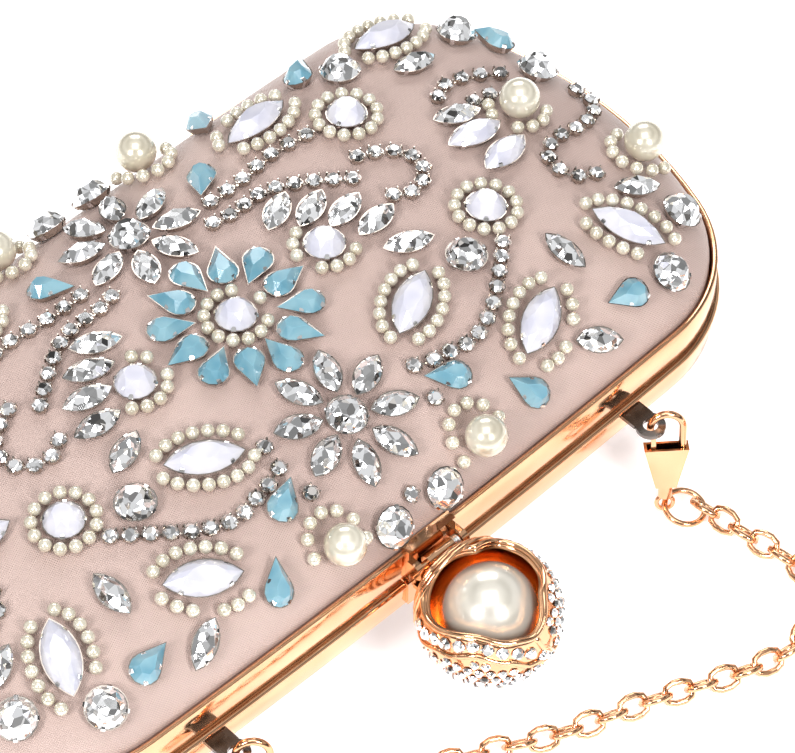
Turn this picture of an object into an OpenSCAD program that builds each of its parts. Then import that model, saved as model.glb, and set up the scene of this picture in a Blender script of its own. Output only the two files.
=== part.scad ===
// Jewelled box evening bag: two domed halves in a hinged metal frame,
// closed by a pearl bud clasp and carried on a clip-on chain.
// The bag lies on its plain half. +Z is up through the jewelled half,
// +X runs along the frame and the clasp is on the -Y side. Millimetres.

/* [Case] */
// Length of the frame
case_l = 216; // [190:1:260]
// Width of the frame
case_w = 112; // [96:1:136]
// Radius of the four corners
corner_r = 32; // [26:1:38]
// Radius of the curved ends
end_r = 105; // [90:1:140]
// Radius of the nearly straight long sides
side_r = 2200; // [1500:50:3500]
// Height of the jewelled half above the metal band
front_rise = 18.6; // [15:0.2:24]
// Height of the plain half beyond the metal band
back_rise = 17.2; // [14:0.2:22]
// Power of the dome's cross-section, higher is boxier
dome_power = 2.4; // [2:0.1:3]
// Size of the flat patch on the plain half, as a share of the outline
flat_share = 0.4; // [0.3:0.05:0.55]

/* [Frame] */
// Height of the jewelled half's metal band
front_band_h = 9.4; // [8:0.1:12]
// Height of the plain half's metal band
back_band_h = 7.8; // [7:0.1:11]
// Thickness of the metal
frame_t = 1.2; // [0.8:0.1:1.6]
// Width of the channel that holds the shell's rim
channel_w = 6.2; // [6:0.1:8]
// Height of the channel's inner lip
lip_h = 4; // [3:0.1:6]
// Height of the bead on the plain half's edge
bead_h = 1.7; // [1.2:0.1:2.4]
// How far the bead stands out
bead_out = 0.9; // [0.5:0.1:1.4]

/* [Shells] */
// Gap between the metal band and the satin
satin_gap = 0.6; // [0.3:0.1:1]
// Thickness of the satin cover
satin_t = 0.5; // [0.4:0.1:0.8]
// Thickness of the moulded shell
shell_t = 1.6; // [1.2:0.1:2.4]
// Thickness of the lining
lining_t = 0.6; // [0.4:0.1:0.9]

/* [Hinges] */
// Distance of each hinge from the middle
hinge_x = 46; // [35:1:58]
// Radius of the knuckles
knuckle_r = 2; // [1.7:0.1:2.6]
// Radius of the hinge pins
hinge_pin_r = 1; // [0.8:0.05:1.3]
// Length of each knuckle
knuckle_l = 5; // [4:0.5:7]
// Height of the leaves on the bands
leaf_h = 6.4; // [5:0.2:7]

/* [Clasp] */
// Radius of the bud
bud_r = 14.4; // [12:0.2:15]
// Thickness of the bud's wall
bud_t = 1.4; // [1:0.1:2]
// Radius of the pearl in the bud
bud_pearl_r = 9.8; // [8:0.1:10.5]
// Distance of the bud's centre from the frame
bud_out = 17.6; // [17.4:0.2:21]
// Forward lean of the bud's mouth, in degrees
bud_lean = 4; // [0:1:25]
// Radius of the clasp's hinge pin
clasp_pin_r = 0.9; // [0.7:0.05:1.1]
// Width of the lever
lever_w = 7; // [6:0.5:9]

/* [Chain and hooks] */
// Distance of each chain tab from the middle
tab_x = 58.5; // [50:0.5:62]
// Width of the tabs
tab_w = 5.5; // [5:0.1:7]
// Thickness of the tabs
tab_t = 1; // [0.8:0.1:1.2]
// Radius of the hole in each tab
tab_hole_r = 1.6; // [1.5:0.1:1.8]
// Distance of the hole from the frame
tab_reach = 6.5; // [5.5:0.1:8]
// Radius of the hook's wire
hook_wire_r = 0.8; // [0.6:0.05:0.9]
// Radius of the hook's bow
bow_r = 3.4; // [3.1:0.1:4.2]
// Length of the hook's folded body
hook_body_h = 10.2; // [9:0.1:10.4]
// Outer width of the chain's links
chain_d = 5.8; // [5:0.1:6.4]

/* [Jewels] */
// Radius of the large clear round stones
round_r = 4.5; // [3.6:0.1:4.8]
// Length of the clear pointed oval stones
navette_l = 11.4; // [9.4:0.2:12]
// Length of the white pointed oval stones
opal_l = 17; // [14:0.2:18]
// Length of the blue drops
drop_l = 10.4; // [8.4:0.2:11]
// Diameter of the seed pearls
seed_d = 2.9; // [2.4:0.1:3]
// Radius of the single large pearls
pearl_r = 4.35; // [3.6:0.05:4.6]
// Distance between the stones of the cup chain
cup_pitch = 3.9; // [3.7:0.1:4.4]

/* [Hidden] */

gold = [0.87, 0.66, 0.5];
silver = [0.72, 0.71, 0.7];
satin_colour = [0.82, 0.72, 0.7];
lining_colour = [0.76, 0.68, 0.64];
clear_colour = [0.9, 0.92, 0.94];
blue_colour = [0.55, 0.72, 0.8];
opal_colour = [0.86, 0.87, 0.92];
pearl_colour = [0.93, 0.9, 0.84];

seam_z = back_band_h + back_rise; // height of the joint between the halves
part_gap = 0.1;                   // gap between the closed frames
half_l = case_l / 2;
half_w = case_w / 2;

// ---- Outline: long-side, corner and end arcs that run smoothly together ----
side_c = [0, half_w - side_r];
end_c = [half_l - end_r, 0];
side_gap = side_r - corner_r;
end_gap = end_r - corner_r;
between = norm(end_c - side_c);
along = (side_gap * side_gap - end_gap * end_gap + between * between) / (2 * between);
across = sqrt(side_gap * side_gap - along * along);
dir = (end_c - side_c) / between;
corner_c = side_c + dir * along + [dir[1], -dir[0]] * across;
side_a = atan2(corner_c[1] - side_c[1], corner_c[0] - side_c[0]);
end_a = atan2(corner_c[1] - end_c[1], corner_c[0] - end_c[0]);
SIDE_STEPS = 3;
CORNER_STEPS = 8;
END_STEPS = 3;

function arc(c, r, a0, a1, n) =
  [for (i = [0:n - 1]) let (a = a0 + (a1 - a0) * i / n) c + r * [cos(a), sin(a)]];
// Points of the first quarter, from the end's middle towards the side's middle
function quarter(inset) = concat(
  arc(end_c, end_r - inset, 0, end_a, END_STEPS),
  arc(corner_c, corner_r - inset, end_a, side_a, CORNER_STEPS),
  arc(side_c, side_r - inset, side_a, 90, SIDE_STEPS));
function outline(inset) = let (q = quarter(inset), n = len(q)) concat(
  q, [[0, half_w - inset]],
  [for (i = [n - 1:-1:1]) [-q[i][0], q[i][1]]],
  [for (i = [0:n - 1]) -q[i]],
  [[0, -half_w + inset]],
  [for (i = [n - 1:-1:1]) [q[i][0], -q[i][1]]]);
// y of the frame's long side at a distance x from the middle
function side_y(x) = side_c[1] + sqrt(side_r * side_r - x * x);

// ---- Domes ----
satin_in = frame_t + satin_gap; // inset of the satin's outer face
shell_in = satin_in + satin_t;
lining_in = shell_in + shell_t;
// Scale of the outline, inset by `inset`, that passes through a point
function ray(p, c, r) = let (pp = p * p, pc = p * c)
  (pc + sqrt(pc * pc - pp * (c * c - r * r))) / pp;
function share(x, y, inset) = let (
    p = [abs(x), abs(y)],
    ks = ray(p, side_c, side_r - inset),
    ke = ray(p, end_c, end_r - inset),
    kc = ray(p, corner_c, corner_r - inset),
    side_end = corner_c[0] + (corner_r - inset) * cos(side_a),
    end_top = corner_c[1] + (corner_r - inset) * sin(end_a))
  ks * p[0] <= side_end ? 1 / ks : ke * p[1] <= end_top ? 1 / ke : 1 / kc;
function dome(s, rise) = rise * sqrt(max(0, 1 - pow(min(s, 1), dome_power)));
front_top = seam_z + front_band_h;
function dome_z(x, y) = x == 0 && y == 0 ? front_top + front_rise
  : front_top + dome(share(x, y, satin_in), front_rise);

RINGS = [1, 0.98, 0.93, 0.85, 0.74, 0.58, 0.4, 0.2];
// A domed skin between two insets, open towards the seam. Heights are
// measured away from the seam: rim, start of the dome, and its rise.
function skin_points(inset, rim, start, rise, cap) = let (o = outline(inset)) concat(
  [for (p = o) [p[0], p[1], rim]],
  [for (s = RINGS, p = o) [p[0] * s, p[1] * s, start + min(dome(s, rise), cap)]],
  [[0, 0, start + min(rise, cap)]]);
module skin(inset, t, rim, start, rise, cap) {
  n = len(outline(0));
  rows = len(RINGS) + 1;
  half = rows * n + 1;
  points = concat(skin_points(inset, rim, start, rise, cap),
    skin_points(inset + t, rim, start, rise - t, cap - t));
  walls = [for (r = [0:rows - 2], i = [0:n - 1]) let (j = (i + 1) % n)
    [r * n + i, (r + 1) * n + i, (r + 1) * n + j, r * n + j]];
  cap_faces = [for (i = [0:n - 1])
    [(rows - 1) * n + i, half - 1, (rows - 1) * n + (i + 1) % n]];
  outer = concat(walls, cap_faces);
  inner = [for (f = outer) [for (k = [len(f) - 1:-1:0]) f[k] + half]];
  rim_faces = [for (i = [0:n - 1]) let (j = (i + 1) % n) [i, j, half + j, half + i]];
  polyhedron(points, concat(outer, inner, rim_faces), convexity = 6);
}
NO_CAP = 1000;
// Extra rise of the plain dome before its top is cut flat
flat_lift = back_rise / sqrt(1 - pow(flat_share, dome_power)) - back_rise;
ledge_z = frame_t + 0.05; // where the rims stand, above the seam
module front_skin(inset, t) {
  translate([0, 0, seam_z])
    skin(inset, t, ledge_z, front_band_h, front_rise - (inset - satin_in), NO_CAP);
}
module back_skin(inset, t) {
  drop = inset - satin_in;
  translate([0, 0, seam_z]) mirror([0, 0, 1])
    skin(inset, t, ledge_z, back_band_h, back_rise + flat_lift - drop, back_rise - drop);
}

// ---- Frame ----
module band(outer, inner, h) {
  linear_extrude(h) difference() {
    polygon(outline(outer));
    polygon(outline(inner));
  }
}
module channel(h) {
  band(0, frame_t, h);
  band(0, channel_w, frame_t);
  band(channel_w - frame_t, channel_w, lip_h);
}
module box_at(low, high) {
  translate(low) cube(high - low);
}
hinge_y = half_w + knuckle_r + 0.2;
notch = 0.4;
hinge_half = 1.5 * knuckle_l + 2 * notch;
tab_z = seam_z - frame_t - tab_t - 0.25; // underside of the tabs, below the channel's floor
module front_frame() {
  color(gold) translate([0, 0, seam_z + part_gap / 2]) channel(front_band_h - part_gap / 2);
}
module back_frame() {
  color(gold) difference() {
    translate([0, 0, seam_z]) mirror([0, 0, 1]) translate([0, 0, part_gap / 2]) {
      channel(back_band_h - part_gap / 2);
      difference() {
        band(-bead_out, 0, bead_h);
        for (sx = [-1, 1])
          box_at([sx * hinge_x - hinge_half, 0, -1], [sx * hinge_x + hinge_half, case_w, bead_h + 1]);
        box_at([-bracket_w / 2 - notch, -case_w, -1], [bracket_w / 2 + notch, 0, bead_h + 1]);
      }
    }
    for (sx = [-1, 1])
      box_at([sx * tab_x - tab_w / 2 - 0.02, -case_w, tab_z - 0.02],
             [sx * tab_x + tab_w / 2 + 0.02, -side_y(tab_x) + frame_t + 0.3, tab_z + tab_t + 0.02]);
  }
}
module front_shell() { color("tan") front_skin(shell_in, shell_t); }
module front_satin() { color(satin_colour) front_skin(satin_in, satin_t); }
module front_lining() { color(lining_colour) front_skin(lining_in, lining_t); }
module back_shell() { color("tan") back_skin(shell_in, shell_t); }
module back_satin() { color(satin_colour) back_skin(satin_in, satin_t); }
module back_lining() { color(lining_colour) back_skin(lining_in, lining_t); }

// ---- Hinges: three knuckles on a pin, the middle one on the jewelled half ----
pin_clear = 0.04;
leaf_y = side_y(hinge_x - hinge_half) + 0.02;
leaf_back = leaf_y + frame_t;
module along_x(x0, x1, r) {
  translate([x0, hinge_y, seam_z]) rotate([0, 90, 0]) cylinder(h = x1 - x0, r = r, $fn = 48);
}
module front_hinge_leaves() {
  color(gold) for (sx = [-1, 1]) translate([sx * hinge_x, 0, 0]) difference() {
    union() {
      box_at([-1.5 * knuckle_l, leaf_y, seam_z + knuckle_r + 0.4],
             [1.5 * knuckle_l, leaf_back, seam_z + knuckle_r + leaf_h - 0.4]);
      box_at([-knuckle_l / 2 + 0.1, leaf_y, seam_z + 0.4],
             [knuckle_l / 2 - 0.1, leaf_back, seam_z + knuckle_r + 0.5]);
      along_x(-knuckle_l / 2 + 0.1, knuckle_l / 2 - 0.1, knuckle_r);
    }
    along_x(-knuckle_l, knuckle_l, hinge_pin_r + pin_clear);
  }
}
module back_hinge_leaves() {
  color(gold) for (sx = [-1, 1]) translate([sx * hinge_x, 0, 0]) difference() {
    union() {
      box_at([-1.5 * knuckle_l, leaf_y, seam_z - knuckle_r - leaf_h + 1.2],
             [1.5 * knuckle_l, leaf_back, seam_z - knuckle_r - 0.4]);
      for (k = [-1, 1]) {
        box_at([k * knuckle_l - knuckle_l / 2, leaf_y, seam_z - knuckle_r - 0.5],
               [k * knuckle_l + knuckle_l / 2, leaf_back, seam_z - 0.4]);
        along_x(k * knuckle_l - knuckle_l / 2, k * knuckle_l + knuckle_l / 2, knuckle_r);
      }
    }
    along_x(-2 * knuckle_l, 2 * knuckle_l, hinge_pin_r);
  }
}
module hinge_pins() {
  color(gold) for (sx = [-1, 1]) translate([sx * hinge_x, 0, 0])
    along_x(-1.5 * knuckle_l, 1.5 * knuckle_l, hinge_pin_r);
}

// ---- Clasp ----
bracket_w = 13;                 // width of the bracket on the band
bracket_t = 1;
ear_t = 1.6;
pivot_out = 3.1;                // hinge line, out from the frame
pivot_z = seam_z + 6.2;
toe_t = 1.1;                    // height of the lever's nub
toe_top = seam_z - 4;
lug_z = toe_top + 0.2;
lug_out = 1.4;
lever_in = lug_out + 0.4;       // lever's inner face, out from the frame
nub_in = lug_out + 0.1;         // tip of the nub that snaps under the lug
face_y = -half_w;
module from_face(x0, x1, o0, o1, z0, z1) {
  translate([x0, face_y - o1, z0]) cube([x1 - x0, o1 - o0, z1 - z0]);
}
module pivot(x0, x1, r) {
  translate([x0, face_y - pivot_out, pivot_z]) rotate([0, 90, 0]) cylinder(h = x1 - x0, r = r, $fn = 48);
}
ear_x = lever_w / 2 + 1.8;      // inner face of the ears
module clasp_bracket() {
  color(gold) difference() {
    union() {
      from_face(-bracket_w / 2, bracket_w / 2, 0, bracket_t, seam_z + 0.5, front_top + 1);
      from_face(-bracket_w / 2, bracket_w / 2, -frame_t - 0.3, 0.1, front_top + 0.01, front_top + 1);
      for (sx = [-1, 1]) {
        from_face(sx * (ear_x + ear_t / 2) - ear_t / 2, sx * (ear_x + ear_t / 2) + ear_t / 2,
                  bracket_t - 0.1, pivot_out, pivot_z - 1.8, pivot_z + 1.8);
        pivot(sx * (ear_x + ear_t / 2) - ear_t / 2, sx * (ear_x + ear_t / 2) + ear_t / 2, 1.8);
      }
    }
    pivot(-bracket_w, bracket_w, clasp_pin_r);
  }
}
module clasp_pin() {
  color(gold) pivot(-ear_x - ear_t, ear_x + ear_t, clasp_pin_r);
}
module clasp_spring() {
  wire = 0.25;
  color("silver") translate([lever_w / 2 + 0.15, face_y - pivot_out, pivot_z]) rotate([0, 90, 0])
    for (i = [0:2]) translate([0, 0, wire + i * 2 * wire])
      rotate_extrude($fn = 32) translate([clasp_pin_r + 0.35, 0]) circle(r = wire, $fn = 16);
}
module catch_plate() {
  color(gold) {
    from_face(-bracket_w / 2, bracket_w / 2, 0.01, 0.8, seam_z - back_band_h + 0.6, seam_z - 0.4);
    from_face(-lever_w / 2 - 1, lever_w / 2 + 1, 0.7, lug_out, lug_z, lug_z + 1.2);
  }
}
module clasp_lever() {
  color(gold) difference() {
    union() {
      from_face(-lever_w / 2, lever_w / 2, lever_in, lever_in + 1.1, toe_top - toe_t, pivot_z);
      from_face(-lever_w / 2, lever_w / 2, nub_in, lever_in + 0.1, toe_top - toe_t, toe_top);
      pivot(-lever_w / 2, lever_w / 2, 1.7);
    }
    pivot(-bracket_w, bracket_w, clasp_pin_r + pin_clear);
  }
}
bud_z = seam_z + 0.5;
module in_bud() {
  translate([0, face_y - bud_out, bud_z]) rotate([bud_lean, 0, 0]) children();
}
stem_r = 4.2;
stem_in = lever_in + 1.12;
rib_angles = [37, 44, 51]; // the collar's ribs, round the line from bud to lever
module clasp_stem() {
  reach = bud_out - stem_in;
  color(gold) difference() {
    translate([0, face_y - stem_in, bud_z - 1]) rotate([90, 0, 0]) cylinder(h = reach, r = stem_r, $fn = 48);
    translate([0, face_y - bud_out, bud_z]) sphere(r = bud_r + 0.02, $fn = 96);
    pivot(-bracket_w, bracket_w, 1.75);
  }
  color(gold) translate([0, face_y - bud_out, bud_z]) rotate([-90, 0, 0]) for (a = rib_angles)
    translate([0, 0, (bud_r + 0.56) * cos(a)]) rotate_extrude($fn = 64)
      translate([(bud_r + 0.56) * sin(a), 0]) circle(r = 0.5, $fn = 16);
}
mouth = 30;      // degrees above the bud's middle where its mouth opens
collar_gap = 55; // degrees to each side of the collar left free of rims and stones
module bud_wall(r, t, low, high) {
  rotate_extrude($fn = 96) polygon(concat(
    [for (i = [0:24]) let (a = low + (high - low) * i / 24) r * [cos(a), sin(a)]],
    [for (i = [24:-1:0]) let (a = low + (high - low) * i / 24) (r - t) * [cos(a), sin(a)]]));
}
pearl_up = 1.2;
module clasp_cup() {
  post_low = -bud_r + bud_t / 2;
  color(gold) difference() {
    in_bud() {
      bud_wall(bud_r, bud_t, -90, mouth);
      translate([0, 0, post_low]) cylinder(h = pearl_up - bud_pearl_r - post_low - 0.02, r = 1.5, $fn = 32);
    }
    pivot(-bracket_w, bracket_w, 1.75);
  }
}
rim_wire = 0.55;
row_low = 8;   // latitude of the lower edge of the stone row
module clasp_rims() {
  color(gold) in_bud() for (a = [row_low, mouth + 4])
    translate([0, 0, (bud_r + rim_wire) * sin(a)]) rotate([0, 0, 90 + collar_gap])
      rotate_extrude(angle = 360 - 2 * collar_gap, $fn = 96)
      translate([(bud_r + rim_wire + 0.03) * cos(a), 0]) circle(r = rim_wire, $fn = 16);
}
module clasp_pearl() {
  color(pearl_colour) in_bud() translate([0, 0, pearl_up]) sphere(r = bud_pearl_r, $fn = 64);
}
module bud_stone(lat, lon, r) {
  rotate([0, 0, lon]) rotate([0, 90 - lat, 0]) translate([0, 0, bud_r + 0.05])
    cylinder(h = 0.7, r1 = r, r2 = r * 0.6, $fn = 16);
}
module clasp_row() {
  n = 20;
  color(clear_colour) in_bud() for (i = [0:n - 1]) let (lon = 90 + (i + 0.5) * 360 / n)
    if (cos(lon - 90) < cos(collar_gap)) bud_stone((row_low + mouth + 4) / 2, lon, 1.9);
}
module clasp_pave() {
  color(clear_colour) in_bud() for (k = [1:4]) let (lat = row_low - 1 - k * 13, n = round(36 * cos(lat)))
    for (i = [0:n - 1]) let (lon = (i + k / 2) * 360 / n)
      if (cos(lat) * sin(lon) < cos(collar_gap + 3)) bud_stone(lat, lon, 0.95);
}

// ---- Chain tabs, hooks and rings ----
tab_y = -side_y(tab_x);
module tab(x) {
  color("dimgray") translate([x, tab_y, tab_z]) difference() {
    union() {
      translate([-tab_w / 2, -tab_reach + 2, 0]) cube([tab_w, tab_reach - 2 + frame_t + 0.16, tab_t]);
      translate([-tab_w / 2 - 1, frame_t + 0.15, -0.5]) cube([tab_w + 2, 0.3, tab_t + 0.65]);
      translate([0, -tab_reach, 0]) cylinder(h = tab_t, r = tab_hole_r + 1.6, $fn = 48);
    }
    translate([0, -tab_reach, -1]) cylinder(h = tab_t + 2, r = tab_hole_r, $fn = 48);
  }
}
module right_tab() { tab(tab_x); }
module left_tab() { tab(-tab_x); }

// Hook, drawn in its own plane: x across, z up, the hole of the tab at the origin
hook_turn = -40;   // turn about the vertical
hook_lean = 12;    // the foot of the hook stands out from the case
module at_hook(x) {
  translate([x, tab_y - tab_reach, tab_z + tab_t / 2]) rotate([0, 0, hook_turn]) rotate([-hook_lean, 0, 0])
    translate([bow_r, 0, -0.5]) children();
}
leg_h = 5.2;         // from the bow's centre down to the folded body
body_top_w = 2 * bow_r + 2.6;
body_foot_w = 4.4;
body_t = 3.2;        // thickness of the folded body
sheet = 0.6;
gate_pin_r = 0.4;
module hook_wire(x) {
  color(gold) at_hook(x) {
    rotate([90, 0, 0]) rotate_extrude(angle = 180, $fn = 64) translate([bow_r, 0])
      circle(r = hook_wire_r, $fn = 24);
    translate([bow_r, 0, -leg_h - leg_in]) cylinder(h = leg_h + leg_in, r = hook_wire_r, $fn = 24);
    translate([-bow_r, 0, -1.2]) cylinder(h = 1.2, r = hook_wire_r, $fn = 24);
  }
}
module taper(top_w, foot_w, t, h) {
  rotate([90, 0, 0]) translate([0, 0, -t / 2]) linear_extrude(t)
    polygon([[-top_w / 2, 0], [top_w / 2, 0], [foot_w / 2, -h], [-foot_w / 2, -h]]);
}
leg_in = 1.2;        // how far the long leg is crimped into the folded body
pivot_drop = leg_h + 1.6;
gate_x = -bow_r + 0.65;
module at_pivot(h, r) {
  translate([gate_x, 0, -pivot_drop]) rotate([90, 0, 0]) cylinder(h = h, r = r, center = true, $fn = 24);
}
module hook_body(x) {
  color(gold) at_hook(x) difference() {
    translate([0, 0, -leg_h]) taper(body_top_w, body_foot_w, body_t, hook_body_h);
    translate([0, 0, -leg_h + 0.1])
      taper(body_top_w - 2 * sheet, body_foot_w - 2 * sheet + 0.6, body_t - 2 * sheet, hook_body_h - 2);
    translate([bow_r, 0, -leg_h - leg_in - 0.02]) cylinder(h = 3, r = hook_wire_r + 0.02, $fn = 24);
    at_pivot(body_t + 2, gate_pin_r);
  }
}
module gate_pin(x) {
  color(gold) at_hook(x) at_pivot(body_t, gate_pin_r);
}
gate_w = 1.6;
module gate(x) {
  color(gold) at_hook(x) difference() {
    union() {
      at_pivot(gate_w, 0.75);
      translate([gate_x - 0.5, -gate_w / 2, -pivot_drop]) cube([1, gate_w, pivot_drop - 1.35]);
    }
    at_pivot(4, gate_pin_r + pin_clear);
  }
}
eye_r = 1.75;
eye_wire = 0.5;
barrel_h = 3.2;
eye_drop = leg_h + hook_body_h + barrel_h + eye_r + 0.2;
module hook_eye(x) {
  color(gold) at_hook(x) {
    translate([0, 0, -leg_h - hook_body_h - barrel_h]) cylinder(h = barrel_h - 0.01, r = 1.5, $fn = 32);
    translate([0, 0, -eye_drop]) rotate([90, 0, 0]) rotate_extrude($fn = 48)
      translate([eye_r, 0]) circle(r = eye_wire, $fn = 16);
  }
}
// Middle of the eye, worked out from the hook's turn and lean
function eye_at(x) = [
  x + bow_r * cos(hook_turn) + (eye_drop + 0.5) * sin(hook_lean) * sin(hook_turn),
  tab_y - tab_reach + bow_r * sin(hook_turn) - (eye_drop + 0.5) * sin(hook_lean) * cos(hook_turn),
  tab_z + tab_t / 2 - (eye_drop + 0.5) * cos(hook_lean)];
ring_r = 4.3;
ring_wire = 0.65;
ring_turn = -55;     // direction of the ring's far side
ring_dip = 11;        // slope of the ring down to the ground
module jump_ring(x) {
  color(gold) translate(eye_at(x)) rotate([0, 0, ring_turn]) rotate([0, ring_dip, 0])
    translate([ring_r, 0, 0]) rotate_extrude($fn = 64)
      translate([ring_r, 0]) circle(r = ring_wire, $fn = 16);
}
module right_hook_wire() { hook_wire(tab_x); }
module left_hook_wire() { hook_wire(-tab_x); }
module right_hook_body() { hook_body(tab_x); }
module left_hook_body() { hook_body(-tab_x); }
module right_gate() { gate(tab_x); }
module left_gate() { gate(-tab_x); }
module right_gate_pin() { gate_pin(tab_x); }
module left_gate_pin() { gate_pin(-tab_x); }
module right_hook_eye() { hook_eye(tab_x); }
module left_hook_eye() { hook_eye(-tab_x); }
module right_jump_ring() { jump_ring(tab_x); }
module left_jump_ring() { jump_ring(-tab_x); }

// Chain: from the right ring over the ground to a coil, and back to the left ring
RIGHT_ROUTE = [[64, -76, 3], [64, -81, 3], [64.5, -86, 3], [65.5, -91, 3], [66, -97, 3],
  [65.5, -104, 3], [65, -111, 3]];
LEFT_ROUTE = [[88, -94, 9], [80, -97, 9.2], [72, -101, 9.2], [65, -105, 9.2], [59, -109, 7],
  [54, -111, 4.5], [49, -111.5, 3.2], [43, -110, 3], [36, -107.5, 3], [28, -104, 3], [19, -100, 3],
  [9, -96.5, 3], [-2, -92, 3], [-12, -86.5, 3], [-22, -82, 3], [-33, -79.5, 3], [-43, -78.5, 3],
  [-52, -76, 3]];
COIL_C = [100, -130];
coil_in = 18.5;
coil_out = 39;
coil_h = 11.8;
SIDES = 8;
// Points of one smooth curve through the route
function curve_point(p, i, t) = let (
    a = p[max(i - 1, 0)], b = p[i], c = p[i + 1], d = p[min(i + 2, len(p) - 1)])
  0.5 * (2 * b + (c - a) * t + (2 * a - 5 * b + 4 * c - d) * t * t + (3 * b - a - 3 * c + d) * t * t * t);
function smooth(p, n) = concat(
  [for (i = [0:len(p) - 2], k = [0:n - 1]) curve_point(p, i, k / n)], [p[len(p) - 1]]);
module tube(path, r) {
  n = len(path);
  points = [for (i = [0:n - 1]) let (
      d = path[min(i + 1, n - 1)] - path[max(i - 1, 0)],
      side = cross(d, [0, 0, 1]) / norm(cross(d, [0, 0, 1])),
      up = cross(side, d) / norm(cross(side, d)))
    for (k = [0:SIDES - 1]) let (a = 360 * (k + 0.5) / SIDES)
      path[i] + r * (cos(a) * side + sin(a) * up)];
  faces = concat(
    [for (i = [0:n - 2], k = [0:SIDES - 1]) let (j = (k + 1) % SIDES)
      [i * SIDES + k, (i + 1) * SIDES + k, (i + 1) * SIDES + j, i * SIDES + j]],
    [[for (k = [0:SIDES - 1]) k]],
    [[for (k = [SIDES - 1:-1:0]) (n - 1) * SIDES + k]]);
  polyhedron(points, faces, convexity = 4);
}
module chain_run_right() { color(gold) tube(smooth(RIGHT_ROUTE, 2), chain_d / 2); }
module chain_run_left() { color(gold) tube(smooth(LEFT_ROUTE, 2), chain_d / 2); }
module chain_coil() {
  color(gold) translate([COIL_C[0], COIL_C[1], 0.05]) rotate_extrude($fn = 72)
    translate([coil_in, 0]) square([coil_out - coil_in, coil_h]);
}

// ---- Jewels, each [x, y, turn] for the half with x above 0, repeated across x = 0 ----
CLEAR_ROUNDS = [[45.5, -20, 0], [7, -52, 0], [91.5, -36.5, 0], [78, -46.5, 0], [64, 36.7, 0],
  [98, 12, 0], [92.5, 31, 0], [6.2, 50.5, 0]];
CLEAR_NAVETTES = [[39, -9.8, -23], [62.3, -31.6, 93], [54.6, -48.6, -32], [88, -27.2, -22], [77.2, 28, -6],
  [72.4, 10.3, -18], [25, 14.6, 29], [30.6, 10.4, 23], [35.4, 5.4, 15], [38.3, -0.9, 8]];
OPAL_ROUNDS = [[26, 1.5, 0], [58, -13, 0], [55, 25.4, 0]];
OPAL_NAVETTES = [[28.6, -21.4, 28], [46.6, -40, 27], [78, -34.4, -64], [41, 37.8, 4], [79.2, 39, -3]];
OPAL_BARE = [[71.2, 3.8, -6], [72.2, -4.2, 10]];
BLUE_DROPS = [[22, 34, 228], [24, -38.6, 146], [35.6, -49.2, 120], [36, 49.5, 250], [67.6, -46, 168],
  [57.2, 42, 40], [98, 23.6, 100]];
LARGE_PEARLS = [[19.5, -49.5, 100], [84, 4, 226], [96.8, -19.3, 188], [19.5, 49.5, 260]];
FLOWERS = [-32, 32];   // y of the two clear flowers on the middle line
PETALS = 8;
petal_out = 10.3;
ROSETTE_DROPS = 12;    // every other one points inwards
rosette_in = 15.2;     // round ends of the drops that point inwards
rosette_out = 11.9;    // and of those that point outwards
CUP_ROWS = [
  [[0, -50], [7, -49], [13, -45.5], [17, -40], [18.4, -33], [17.6, -27]],
  [[19, -33], [26, -34], [33, -35], [41, -32], [48, -27], [54, -22]],
  [[48, 15], [54, 12], [57, 7], [55, 2], [50, 0], [46, 2]],
  [[43, 11], [35, 17], [27, 21], [19, 21], [14, 22]],
  [[45, 27], [36, 28], [27, 27], [18, 27]],
  [[90, 15], [84, 18], [77, 19], [73, 16], [77, 12], [83, 11]],
  [[95, 9], [100, 4], [100, -3], [93, -7], [86, -7], [80, -9], [78, -14], [81, -19], [88, -20]],
  [[8, 22], [10, 28], [10, 34]]
];

// Places children on the jewelled dome, standing along its normal
module on_dome(x, y, turn) {
  step = 0.5;
  nx = dome_z(x - step, y) - dome_z(x + step, y);
  ny = dome_z(x, y - step) - dome_z(x, y + step);
  lean = atan2(norm([nx, ny]), 2 * step);
  way = atan2(ny, nx);
  translate([x, y, dome_z(x, y)]) rotate([0, 0, way]) rotate([0, lean, 0]) rotate([0, 0, turn - way])
    translate([0, 0, foot]) children();
}
foot = 0.35; // clearance of a setting above the satin
module both(list) {
  for (j = list, sx = [-1, 1]) on_dome(sx * j[0], j[1], sx > 0 ? j[2] : 180 - j[2]) children();
}
function navette(l, w) = let (r = (l * l + w * w) / (4 * w), a = asin(l / 2 / r), n = 4) concat(
  [for (i = [-n:n - 1]) [r * sin(a * i / n), r * cos(a * i / n) - r + w / 2]],
  [for (i = [n:-1:-n + 1]) [r * sin(a * i / n), r - w / 2 - r * cos(a * i / n)]]);
function drop(l, w) = concat([[l - w / 2, 0]],
  [for (i = [0:12]) let (a = 60 + i * 20) w / 2 * [cos(a), sin(a)]]);
set_h = 1.6;
module round_setting(r) { difference() { cylinder(h = set_h + 0.8, r = r, $fn = 32);
  translate([0, 0, set_h]) cylinder(h = 2, r = r - 0.4, $fn = 32); } }
module round_stone(r) { translate([0, 0, set_h + 0.03]) { cylinder(h = 0.9, r = r - 0.45, $fn = 32);
  translate([0, 0, 0.9]) cylinder(h = 1.1, r1 = r - 0.45, r2 = (r - 0.45) * 0.6, $fn = 32); } }
module flat_setting() { linear_extrude(set_h) children(); }
module flat_stone() { translate([0, 0, set_h + 0.03]) { linear_extrude(1) children();
  translate([0, 0, 1]) linear_extrude(1) scale(0.72) children(); } }
opal_w = opal_l * 0.47;
bare_l = opal_l * 0.84; // the white ovals without seed pearls are smaller
bare_w = opal_w * 0.84;
navette_w = navette_l * 0.5;
drop_w = drop_l * 0.65;
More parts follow.
